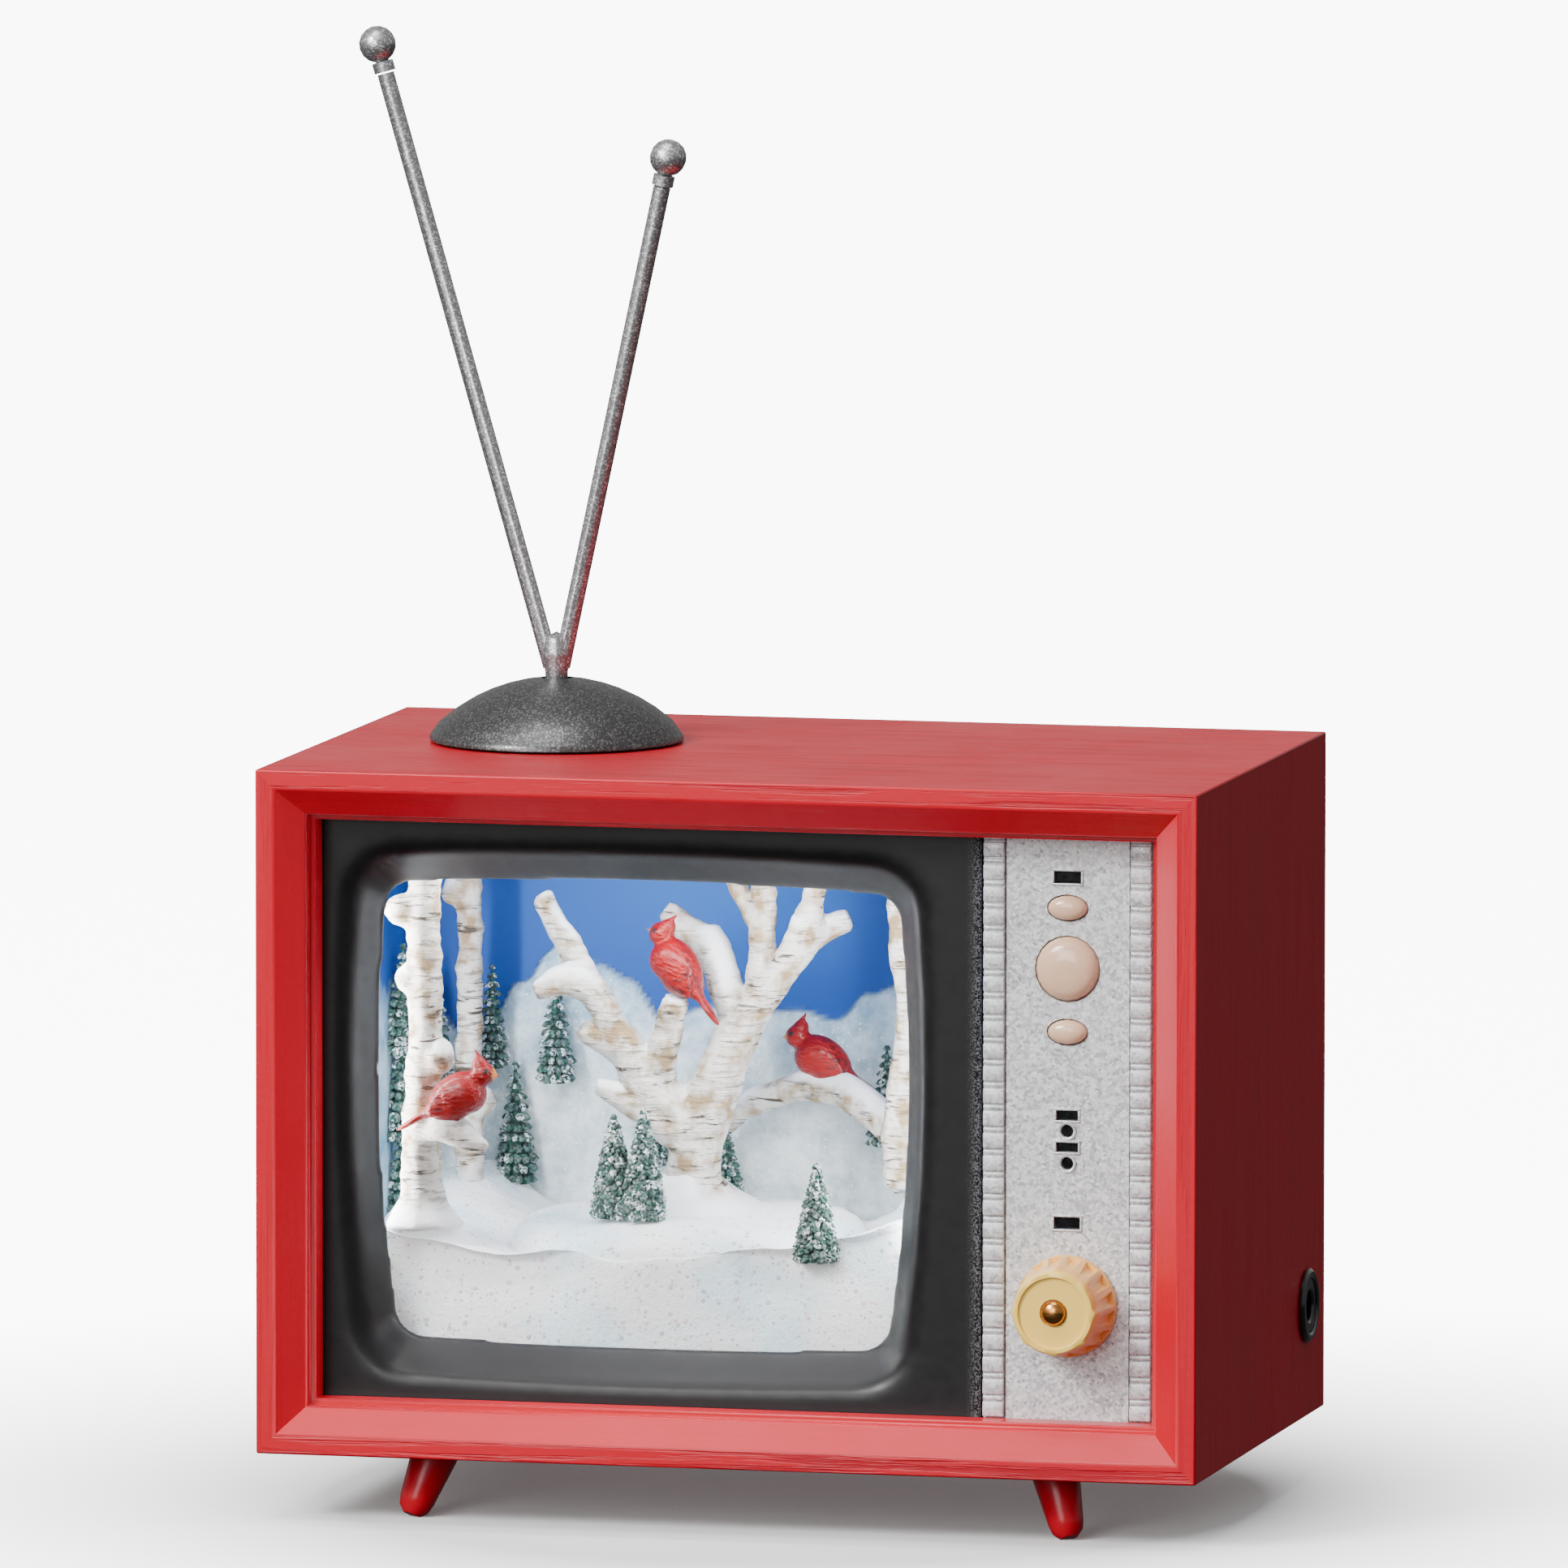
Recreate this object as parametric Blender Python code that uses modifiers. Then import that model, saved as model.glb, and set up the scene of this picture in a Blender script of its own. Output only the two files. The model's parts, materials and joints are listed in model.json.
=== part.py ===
"""Light-up television diorama: a small wooden television cabinet with a turning winter scene.

Everything hangs from one empty at the cabinet's own corner point: the middle of its front lower
edge, with X to the viewer's right, Y towards the back and Z up. Sizes are in metres.
"""

import math

import bmesh
import bpy
from mathutils import Matrix, Vector

# ---------------------------------------------------------------- driving dimensions
FIT = 0.0003  # gap between pieces that rest on each other

CABINET_WIDTH = 0.1839
CABINET_DEPTH = 0.1147
CABINET_HEIGHT = 0.1320
BOARD = 0.0036
LEG_HEIGHT = 0.0128

# front moulding, as a section: width counts inwards from the board, depth counts back
BEVEL_WIDTH = 0.0053
BEVEL_DEPTH = 0.0045
STEP_DEPTH = 0.0069
LIP_WIDTH = 0.0011
FRAME_DEPTH = 0.0127

# screen mask
MASK_RIGHT = 0.0473
MASK_SHEET = 0.0018
SCREEN_CENTRE = (-0.0210, 0.0650)
SCREEN_HALF = (0.0518, 0.0447)
SCREEN_BULGE = (0.0024, 0.0012)
SCREEN_TAPER = 0.022
SCREEN_CORNER = 0.0052
SCREEN_DEPTH = 0.0080
MASK_EDGE = 0.0010
MASK_TUCK = 0.0030
CORNER_STEPS = 5
SIDE_STEPS = 5
POST_INSET = 0.0050
POST_RADIUS = 0.0025
WINDOW_SHEET = 0.0016
WINDOW_MARGIN = 0.0045

# control panel
PANEL_PAD = (0.0521, 0.0760)
PANEL_SHEET = 0.0017
PAD_RISE = 0.0009
TRIM_WIDTH = 0.0041
TRIM_PITCH = 0.00435
TRIM_RELIEF = 0.0006
TRIM_BASE = 0.0008
TRIM_STEPS = 4
CONTROL_X = 0.0640
SLOTS = (
    (0.1140, 0.0052, 0.0023),
    (0.0685, 0.0042, 0.0019),
    (0.0624, 0.0042, 0.0018),
    (0.0479, 0.0050, 0.0023),
)
DOTS = (0.0655, 0.0593)
DOT_RADIUS = 0.00125
ROUND_BUTTON = (0.0965, 0.01230, 0.01230)
UPPER_OVAL = (0.1081, 0.0077, 0.0047)
LOWER_OVAL = (0.0844, 0.0077, 0.0047)
BUTTON_PLAY = 0.00025
OVAL_TRAVEL = 0.0010
ROUND_TRAVEL = 0.0012
BUTTON_FLANGE = 0.0012
STEM_RADIUS = 0.0014
NIB_DEPTH = 0.0004
INSERT_SHEET = 0.0012
SWITCH_BOARD = (0.0490, 0.0800, 0.0780, 0.1200)
SWITCH_BOARD_Y = 0.0260
SWITCH_FRONT = 0.0212
SWITCH_PLUNGER = 0.0010
SWITCH_BODY = 0.0060
BOARD_SHEET = 0.0016

# volume knob and its control
KNOB_Z = 0.0321
KNOB_SKIRT_RADIUS = 0.0098
KNOB_FACE_RADIUS = 0.0079
KNOB_DEPTH = 0.0117
KNOB_RIBS = 16
KNOB_BODY_RADIUS = 0.0087
RIB_HEIGHT = 0.0009
SKIRT_SHEET = 0.0012
KNOB_FACE_SHEET = 0.0022
HUB_SINK = 0.0010
HUB_RADIUS = 0.0024
POT_SHAFT_RADIUS = 0.0028
POT_BUSH_RADIUS = 0.0036
POT_CAN_RADIUS = 0.0080
POT_CAN_DEPTH = 0.0080

# turning scene
DISC_X = -0.0215
DISC_BASE_Z = 0.0290
DISC_RIM_Z = 0.0408
DISC_CROWN_Z = 0.0425
DISC_CLEARANCE = 0.0008
DISC_EDGE_RADIUS = 0.0050
BANK_WALL = 0.0015  # snow between the tub and the disc's well where it is thinnest
GEAR_MODULE = 0.0008
GEAR_TEETH = 40
PINION_TEETH = 10
GEAR_FACE = 0.0032
GEAR_SHAFT_RADIUS = 0.0025
SHAFT_PLAY = 0.00008
DECK_Z = 0.0180
DECK_SHEET = 0.0020
DECK_POST_CIRCLE = 0.0285
DECK_POSTS = (120, 200, 290)
BUSH_RADIUS = 0.0040
BUSH_FLANGE = 0.0010
SOCKET_RADIUS = 0.0045
SOCKET_DEPTH = 0.0050
PINION_SHAFT = 0.0010
MOTOR_SIZE = (0.0240, 0.0180)
MOTOR_CAN_RADIUS = 0.0045
MOTOR_CAN_LENGTH = 0.0120

# housing of the scene
TUB_SIDE_GAP = 0.00185
TUB_WIDTH = 0.1220
TUB_HEADROOM = 0.0104
TUB_BACK_ROOM = 0.0142
TUB_WALL = 0.0015

# scenery: backdrop, fixed snow, trees and birds
BACKDROP_SHEET = 0.0012
BACKDROP_RELIEF = 0.0014
BACKDROP_GRID = (17, 11)
HILL_BASE = 0.0660
HILLS = (
    (-0.0900, 0.0140, 0.0180),
    (-0.0545, 0.0110, 0.0225),
    (-0.0420, 0.0075, 0.0150),
    (-0.0200, 0.0180, 0.0112),
    (0.0180, 0.0170, 0.0165),
)
BACK_TRUNK = (-0.0747, 0.0026)
SNOW_FRONT = 0.0190
SNOW_GRID = (22, 12)
SNOW_SEAT = 0.0014
BIRD_SIDES = 8
BIRD_LIFT = 0.155
SMALL_FIRS = ((-0.0104, -0.0190), (-0.0041, -0.0212))
SMALL_FIR = (0.0200, 0.0050)
FRONT_FIR = (0.0112, 0.0048)  # the second is its distance behind the window
FRONT_FIR_SIZE = (0.0205, 0.0041)
TRUNK_ROOT = 0.0075
LEFT_BIRCH = (-0.0678, 0.0350)
LEFT_BIRCH_RADII = (0.0048, 0.0038, 0.0037, 0.0035, 0.0031)
RIGHT_BIRCH = (0.0222, 0.0600)
RIGHT_BIRCH_RADII = (0.0050, 0.0042, 0.0038, 0.0035, 0.0028)
TREE_FLARE = (0.0112, 0.0070, 0.0048)  # bottom radius, top radius and height
TREE_TRUNK = ((0.0004, 0, 0.0410), (0.0007, 0, 0.0500), (0.0006, 0, 0.0600))
TREE_TRUNK_RADII = (0.0068, 0.0057, 0.0054)
# each bough: points from its root to its tip, and the radius at each
TREE_BRANCHES = (
    (
        ((0.0, 0, 0.0565), (-0.0083, -0.002, 0.0667), (-0.0148, -0.003, 0.0776), (-0.0290, -0.002, 0.1019)),
        (0.0050, 0.0042, 0.0034, 0.0023),
    ),
    (
        ((-0.0170, -0.003, 0.0840), (-0.0235, -0.006, 0.0862), (-0.0292, -0.008, 0.0838)),
        (0.0028, 0.0030, 0.0020),
    ),
    (
        ((-0.0090, -0.002, 0.0690), (-0.0150, -0.003, 0.0735), (-0.0212, -0.004, 0.0768)),
        (0.0032, 0.0028, 0.0018),
    ),
    (
        ((-0.0030, -0.002, 0.0565), (-0.0110, -0.003, 0.0625), (-0.0180, -0.004, 0.0655)),
        (0.0036, 0.0028, 0.0017),
    ),
    (
        ((-0.0065, -0.001, 0.0650), (-0.0040, -0.003, 0.0750), (-0.0014, -0.005, 0.0832)),
        (0.0036, 0.0030, 0.0026),
    ),
    (
        ((0.0016, 0, 0.0570), (0.0086, 0, 0.0745), (0.0134, 0.001, 0.0847), (0.0145, 0.001, 0.1080)),
        (0.0054, 0.0046, 0.0032, 0.0025),
    ),
    (
        ((0.0146, 0.001, 0.0960), (0.0098, 0.003, 0.1020), (0.0070, 0.004, 0.1080)),
        (0.0024, 0.0022, 0.0020),
    ),
    (
        ((0.0090, 0, 0.0760), (0.0198, -0.001, 0.0905), (0.0228, -0.001, 0.0960), (0.0256, 0, 0.1080)),
        (0.0040, 0.0033, 0.0034, 0.0018),
    ),
    (
        ((0.0218, -0.001, 0.0940), (0.0270, 0.002, 0.0968), (0.0308, 0.003, 0.0985)),
        (0.0028, 0.0023, 0.0022),
    ),
    (
        ((0.0086, 0.001, 0.080), (0.0035, 0.007, 0.090), (-0.0025, 0.010, 0.0945), (-0.0078, 0.011, 0.0985)),
        (0.0036, 0.0036, 0.0032, 0.0022),
    ),
)
ARCH_BOUGH = (
    (0.0218, 0.0610, 0.0480),
    (0.0185, 0.0720, 0.0545),
    (0.0065, 0.0830, 0.0612),
    (-0.0045, 0.0870, 0.0630),
    (-0.0145, 0.0890, 0.0598),
    (-0.0215, 0.0900, 0.0540),
)
ARCH_RADII = (0.0044, 0.0042, 0.0033, 0.0030, 0.0026, 0.0018)
# place of the feet, length, heading and pitch in degrees
LEFT_BIRD = ((-0.0613, 0.0300, 0.0634), 0.0200, 0, 0)
RIGHT_BIRD = ((0.0000, 0.0866, 0.0656), 0.0195, 180, 0)

# back and power
BACK_SHEET = 0.0020
BACK_INSET = 0.0012
CELL_RADIUS = 0.0070
CELL_LENGTH = 0.0490
CELL_COUNT = 3
CELL_GAP = 0.0008
BOX_WALL = 0.0010
BOX_BOTTOM = 0.0360
BOX_RIGHT = 0.0825
CONTACT_SPACE = 0.0032
SPRING_STEPS = 8
CONTACT_PAD = 0.0040
SPRING_WIRE = 0.0003
DOOR_PLAY = 0.0005
DOOR_GRIP = (0.0100, 0.0007, 0.0015)
COVER_BLOCK = 0.0070
COVER_SCREW_Z = (0.0105, 0.1215)
GRILLE_SLOTS = 7
GRILLE_PITCH = 0.0042
GRILLE_SLOT = 0.0018
VENT_SLOTS = 9
VENT_PITCH = 0.0060
VENT_HEIGHT = 0.0100
VENT_Z = 0.1080
HINGE_RADIUS = 0.0012
HINGE_PIN_RADIUS = 0.0005
HINGE_PIN_LENGTH = 0.0010
SPEAKER_AT = (-0.0450, 0.0700)
SPEAKER_RADIUS = 0.0180
SPEAKER_DEPTH = 0.0085
LIGHT_X = (-0.0550, 0.0120)
MAIN_BOARD_GAP = 0.0045
MAIN_BOARD_Y = (0.0400, 0.0880)
MAIN_BOARD_Z = (0.0700, 0.1040)
# components on the main board: y and z from its corner, length, width, height
MAIN_BOARD_PIECES = (
    (0.010, 0.012, 0.010, 0.010, 0.0022),
    (0.028, 0.008, 0.010, 0.006, 0.0060),
    (0.024, 0.022, 0.006, 0.006, 0.0080),
)
LIGHT_COUNT = 4

# socket on the right side
JACK_Y = 0.0980
JACK_Z = 0.0220
JACK_FLANGE_RADIUS = 0.0072
JACK_PROUD = 0.0012
JACK_BARREL_RADIUS = 0.0052
JACK_BORE_RADIUS = 0.0031

# antenna
ANTENNA_AT = (-0.0482, 0.0616)
DOME_RADIUS = 0.0245
DOME_SEAM_RADIUS = 0.0225
DOME_SEAM = 0.0034
DOME_HEIGHT = 0.0120
DOME_HOLE_RADIUS = 0.00315
DOME_SHEET = 0.0018
NECK_RADIUS = 0.0029
PEG_RADIUS = 0.0022
FORK_HEIGHT = 0.0200
ROD_RADIUS = 0.0017
BALL_RADIUS = 0.0036
COLLAR_RADIUS = 0.0021
COLLAR_LENGTH = 0.0022
LEFT_BALL = (-0.0355, 0.1334)
RIGHT_BALL = (0.0221, 0.1127)

# legs
LEG_AT = (0.0607, 0.0174)
LEG_LEAN = (0.0040, -0.0047)
LEG_TOP_RADIUS = 0.0046
LEG_TIP_RADIUS = 0.0034
LEG_SIDES = 16

# ---------------------------------------------------------------- values that follow
HALF_WIDTH = CABINET_WIDTH / 2
INNER_X = HALF_WIDTH - BOARD
INNER_BOTTOM = BOARD
INNER_TOP = CABINET_HEIGHT - BOARD
PANEL_FACE = FRAME_DEPTH + FIT
PANEL_BACK = PANEL_FACE + PAD_RISE + PANEL_SHEET
MASK_BACK = PANEL_FACE + MASK_SHEET
SCREEN_EDGE = PANEL_FACE + SCREEN_DEPTH
WINDOW_FRONT = SCREEN_EDGE + MASK_EDGE + FIT
WINDOW_BACK = WINDOW_FRONT + WINDOW_SHEET
TUB_FRONT = WINDOW_BACK + FIT
TUB_LEFT = -(INNER_X - TUB_SIDE_GAP)
TUB_RIGHT = TUB_LEFT + TUB_WIDTH
TUB_BOTTOM = INNER_BOTTOM + 2 * FIT
TUB_TOP = INNER_TOP - TUB_HEADROOM
TUB_BACK = CABINET_DEPTH - TUB_BACK_ROOM
BACKDROP_FRONT = TUB_BACK - TUB_WALL - FIT - BACKDROP_SHEET - BACKDROP_RELIEF
DISC_RADIUS = (BACKDROP_FRONT - 2 * FIT - TUB_FRONT - BANK_WALL - DISC_CLEARANCE) / 2
AXIS = (DISC_X, TUB_FRONT + BANK_WALL + DISC_CLEARANCE + DISC_RADIUS)
TOP_BIRD = ((AXIS[0] - 0.0004, AXIS[1] - 0.0052, 0.0858), 0.0205, 166, 20)
BACK_FACE = CABINET_DEPTH - BACK_INSET
BACK_FRONT = BACK_FACE - BACK_SHEET
GEAR_CENTRES = GEAR_MODULE * (GEAR_TEETH + PINION_TEETH) / 2
DECK_TOP = DECK_Z + DECK_SHEET
GEAR_Z = DECK_TOP + 2 * FIT + BUSH_FLANGE
CELL_PITCH = 2 * CELL_RADIUS + CELL_GAP
BOX_WIDTH = CELL_COUNT * CELL_PITCH - CELL_GAP + 2 * (FIT + BOX_WALL)
BOX_HEIGHT = CELL_LENGTH + 2 * (CONTACT_SPACE + BOX_WALL)
BOX_LEFT = BOX_RIGHT - BOX_WIDTH
BOX_BACK = BACK_FRONT - FIT
BOX_FRONT = BOX_BACK - 2 * CELL_RADIUS - BOX_WALL - FIT

OBJECT_NAME = "television_diorama"
FACING_FRONT = (math.radians(90), 0, 0)
FACING_BACK = (math.radians(-90), 0, 0)
FACING_RIGHT = (0, math.radians(90), 0)
UPRIGHT = (0, 0, 0)

# name: (colour, roughness, metallic)
FINISHES = {
    "red_board": ((0.55, 0.020, 0.022), 0.42, 0.0),
    "red_moulding": ((0.58, 0.018, 0.020), 0.38, 0.0),
    "black_mask": ((0.022, 0.022, 0.024), 0.38, 0.0),
    "window": ((0.95, 0.97, 0.98), 0.05, 0.0),
    "silver_paint": ((0.56, 0.57, 0.60), 0.42, 0.5),
    "black_gloss": ((0.010, 0.010, 0.011), 0.15, 0.0),
    "beige_gloss": ((0.72, 0.56, 0.44), 0.22, 0.0),
    "cream_plastic": ((0.80, 0.66, 0.36), 0.35, 0.0),
    "bronze": ((0.42, 0.20, 0.08), 0.30, 1.0),
    "antenna_silver": ((0.42, 0.42, 0.43), 0.34, 0.8),
    "steel": ((0.60, 0.60, 0.60), 0.30, 1.0),
    "black_plastic": ((0.02, 0.02, 0.02), 0.45, 0.0),
    "white_plastic": ((0.75, 0.75, 0.73), 0.45, 0.0),
    "blue_tub": ((0.10, 0.28, 0.62), 0.55, 0.0),
    "circuit": ((0.03, 0.22, 0.09), 0.40, 0.0),
    "snow": ((0.86, 0.90, 0.92), 0.60, 0.0),
    "birch": ((0.80, 0.77, 0.70), 0.65, 0.0),
    "cardinal": ((0.62, 0.02, 0.02), 0.25, 0.0),
    "fir": ((0.05, 0.20, 0.14), 0.55, 0.0),
    "paper": ((0.05, 0.05, 0.05), 0.85, 0.0),
    "cell_label": ((0.10, 0.16, 0.22), 0.35, 0.0),
    "brass": ((0.70, 0.50, 0.20), 0.25, 1.0),
}


# ---------------------------------------------------------------- scene helpers
def clear_scene():
    for obj in list(bpy.data.objects):
        bpy.data.objects.remove(obj, do_unlink=True)


def new_collection(name, tools=False):
    collection = bpy.data.collections.new(name)
    bpy.context.scene.collection.children.link(collection)
    collection.hide_render = tools
    return collection


clear_scene()
PARTS = new_collection(OBJECT_NAME)
CUTTERS = new_collection(OBJECT_NAME + "_cutters", tools=True)
CABINET = bpy.data.objects.new("cabinet_corner", None)
CABINET.location = (-JACK_PROUD / 2, -CABINET_DEPTH / 2, LEG_HEIGHT)
PARTS.objects.link(CABINET)


def finish_of(name):
    """The Principled material of one finish, made once."""
    known = bpy.data.materials.get(name)
    if known:
        return known
    colour, roughness, metallic = FINISHES[name]
    material = bpy.data.materials.new(name)
    material.use_nodes = True
    shader = material.node_tree.nodes["Principled BSDF"]
    shader.inputs["Base Color"].default_value = (*colour, 1.0)
    shader.inputs["Roughness"].default_value = roughness
    shader.inputs["Metallic"].default_value = metallic
    return material


def add_part(name, mesh, finish, at=(0, 0, 0), turn=UPRIGHT, smooth=False):
    """A named piece of the object, with its origin at a place in the cabinet's frame."""
    obj = bpy.data.objects.new(name, mesh)
    obj.location = at
    obj.rotation_euler = turn
    obj.parent = CABINET
    mesh.materials.append(finish_of(finish))
    if smooth:
        mesh.shade_smooth()
        mesh.set_sharp_from_angle(angle=math.radians(35))
    PARTS.objects.link(obj)
    return obj


def add_tool(mesh, at=(0, 0, 0), turn=UPRIGHT):
    """A shape that only cuts or joins."""
    obj = bpy.data.objects.new("tool", mesh)
    obj.location = at
    obj.rotation_euler = turn
    obj.parent = CABINET
    obj.hide_render = True
    obj.display_type = "WIRE"
    CUTTERS.objects.link(obj)
    return obj


def boolean(target, tool, operation):
    modifier = target.modifiers.new(operation.lower(), "BOOLEAN")
    modifier.operation = operation
    modifier.solver = "EXACT"
    modifier.object = tool
    return modifier


def join(target, *tools):
    for tool in tools:
        boolean(target, tool, "UNION")


def cut(target, *tools):
    for tool in tools:
        boolean(target, tool, "DIFFERENCE")


# ---------------------------------------------------------------- mesh helpers
def to_mesh(bm, name):
    bmesh.ops.recalc_face_normals(bm, faces=bm.faces)
    mesh = bpy.data.meshes.new(name)
    bm.to_mesh(mesh)
    bm.free()
    return mesh


def box(low, high):
    bm = bmesh.new()
    bmesh.ops.create_cube(bm, size=1.0)
    low, high = Vector(low), Vector(high)
    bmesh.ops.scale(bm, vec=high - low, verts=bm.verts)
    bmesh.ops.translate(bm, vec=(low + high) / 2, verts=bm.verts)
    return to_mesh(bm, "box")


def cylinder(radius, low, high, sides=20, top_radius=None):
    """A round bar along its own Z axis."""
    bm = bmesh.new()
    far_radius = radius if top_radius is None else top_radius
    bmesh.ops.create_cone(
        bm, cap_ends=True, segments=sides, radius1=radius, radius2=far_radius, depth=high - low
    )
    bmesh.ops.translate(bm, vec=(0, 0, (low + high) / 2), verts=bm.verts)
    return to_mesh(bm, "cylinder")


PLANES = {
    "X": lambda a, b, h: Vector((h, a, b)),
    "Y": lambda a, b, h: Vector((a, h, b)),
    "Z": lambda a, b, h: Vector((a, b, h)),
}


def prism(outline, axis, low, high):
    """A flat outline across an axis, given thickness along it."""
    place = PLANES[axis]
    bm = bmesh.new()
    face = bm.faces.new([bm.verts.new(place(a, b, low)) for a, b in outline])
    raised = bmesh.ops.extrude_face_region(bm, geom=[face])
    lifted = [item for item in raised["geom"] if isinstance(item, bmesh.types.BMVert)]
    bmesh.ops.translate(bm, vec=place(0, 0, high - low), verts=lifted)
    return to_mesh(bm, "prism")


def loft(loops, ring=False):
    """Skins equal loops of points one after another; a ring closes on its first loop."""
    bm = bmesh.new()
    rows = [[bm.verts.new(point) for point in loop] for loop in loops]
    pairs = list(zip(rows, rows[1:]))
    if ring:
        pairs.append((rows[-1], rows[0]))
    for row, following in pairs:
        for i in range(len(row)):
            k = (i + 1) % len(row)
            bm.faces.new((row[i], row[k], following[k], following[i]))
    if not ring:
        bm.faces.new(rows[0])
        bm.faces.new(rows[-1])
    return to_mesh(bm, "loft")


def outline_mesh(profile, closed):
    mesh = bpy.data.meshes.new("profile")
    points = [(radius, 0, height) for radius, height in profile]
    edges = [(i, i + 1) for i in range(len(points) - 1)]
    if closed:
        edges.append((len(points) - 1, 0))
    mesh.from_pydata(points, edges, [])
    return mesh


def turned(name, profile, finish, at=(0, 0, 0), turn=UPRIGHT, sides=24, closed=False, tool=False):
    """A turned piece: (radius, height) points from the top down the outer side."""
    mesh = outline_mesh(profile, closed)
    obj = add_tool(mesh, at, turn) if tool else add_part(name, mesh, finish, at, turn)
    screw = obj.modifiers.new("turn", "SCREW")
    screw.steps = sides
    screw.render_steps = sides
    screw.use_merge_vertices = True
    screw.merge_threshold = 0.00001
    screw.use_smooth_shade = True
    return obj


def arc(centre, radius, start, end, count):
    """Points of an arc in degrees, both ends included."""
    angles = [math.radians(start + (end - start) * i / count) for i in range(count + 1)]
    return [(centre[0] + radius * math.cos(a), centre[1] + radius * math.sin(a)) for a in angles]


def smooth_path(points, steps):
    """Catmull-Rom points through the given ones; each item may also carry a radius."""
    items = [Vector(point) for point in points]
    ends = [2 * items[0] - items[1]] + items + [2 * items[-1] - items[-2]]
    path = []
    for k in range(1, len(ends) - 2):
        a, b, c, d = ends[k - 1 : k + 3]
        for i in range(steps):
            t = i / steps
            square = 2 * a - 5 * b + 4 * c - d
            cube = 3 * b - a - 3 * c + d
            path.append(0.5 * (2 * b + (c - a) * t + square * t**2 + cube * t**3))
    path.append(items[-1])
    return path


def bar_mesh(points, radii, resolution=2):
    """A round bar of changing radius along a POLY curve, as a closed mesh."""
    curve = bpy.data.curves.new("bar", "CURVE")
    curve.dimensions = "3D"
    curve.bevel_depth = 1.0
    curve.bevel_resolution = resolution
    curve.use_fill_caps = True
    spline = curve.splines.new("POLY")
    spline.points.add(len(points) - 1)
    for place, point, radius in zip(spline.points, points, radii):
        place.co = (*point, 1.0)
        place.radius = radius
    obj = bpy.data.objects.new("bar", curve)
    bpy.context.scene.collection.objects.link(obj)
    graph = bpy.context.evaluated_depsgraph_get()
    mesh = bpy.data.meshes.new_from_object(obj.evaluated_get(graph))
    bpy.data.objects.remove(obj, do_unlink=True)
    bpy.data.curves.remove(curve)
    bm = bmesh.new()
    bm.from_mesh(mesh)
    bmesh.ops.remove_doubles(bm, verts=bm.verts, dist=0.000001)
    bpy.data.meshes.remove(mesh)
    return to_mesh(bm, "bar")


def limb(points, radii, steps=3):
    """A branch: points and radii smoothed together."""
    four = [Vector((*point, radius)) for point, radius in zip(points, radii)]
    path = smooth_path(four, steps)
    return bar_mesh([p[:3] for p in path], [p[3] for p in path])


# ---------------------------------------------------------------- cabinet
def build_boards():
    """Four mitred boards; each mitre is left open by the fitting gap."""
    back_off = FIT / math.sqrt(2)
    long_out = HALF_WIDTH - back_off
    long_in = INNER_X - back_off
    for name, outer, inner in (
        ("cabinet_top", CABINET_HEIGHT, INNER_TOP),
        ("cabinet_bottom", 0, INNER_BOTTOM),
    ):
        outline = ((-long_out, outer), (long_out, outer), (long_in, inner), (-long_in, inner))
        add_part(name, prism(outline, "Y", 0, CABINET_DEPTH), "red_board")
    sides = {}
    for side, name in ((-1, "cabinet_left"), (1, "cabinet_right")):
        outline = (
            (side * HALF_WIDTH, back_off),
            (side * HALF_WIDTH, CABINET_HEIGHT - back_off),
            (side * INNER_X, INNER_TOP - back_off),
            (side * INNER_X, INNER_BOTTOM + back_off),
        )
        sides[side] = add_part(name, prism(outline, "Y", 0, CABINET_DEPTH), "red_board")
        for z in COVER_SCREW_Z:
            x = side * (INNER_X - COVER_BLOCK / 2)
            low = (x - COVER_BLOCK / 2, BACK_FRONT - FIT - COVER_BLOCK, z - COVER_BLOCK / 2)
            high = (x + COVER_BLOCK / 2 + BOARD / 4, BACK_FRONT - FIT, z + COVER_BLOCK / 2)
            if side < 0:
                low = (low[0] - BOARD / 4, low[1], low[2])
                high = (high[0] - BOARD / 4, high[1], high[2])
            join(sides[side], add_tool(box(low, high)))
    hole = cylinder(JACK_BARREL_RADIUS + FIT, -2 * BOARD, BOARD)
    cut(sides[1], add_tool(hole, (HALF_WIDTH, JACK_Y, JACK_Z), FACING_RIGHT))


def build_front_frame():
    """Bevel, step and lip swept round the front, mitred at the corners."""
    section = (
        (FIT, 0),
        (BEVEL_WIDTH, BEVEL_DEPTH),
        (BEVEL_WIDTH, STEP_DEPTH),
        (BEVEL_WIDTH + LIP_WIDTH, STEP_DEPTH),
        (BEVEL_WIDTH + LIP_WIDTH, FRAME_DEPTH),
        (FIT, FRAME_DEPTH),
    )
    loops = []
    for inset, y in section:
        x = INNER_X - inset
        low, high = INNER_BOTTOM + inset, INNER_TOP - inset
        loops.append([(-x, y, low), (x, y, low), (x, y, high), (-x, y, high)])
    add_part("front_frame", loft(loops, ring=True), "red_moulding")


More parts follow.
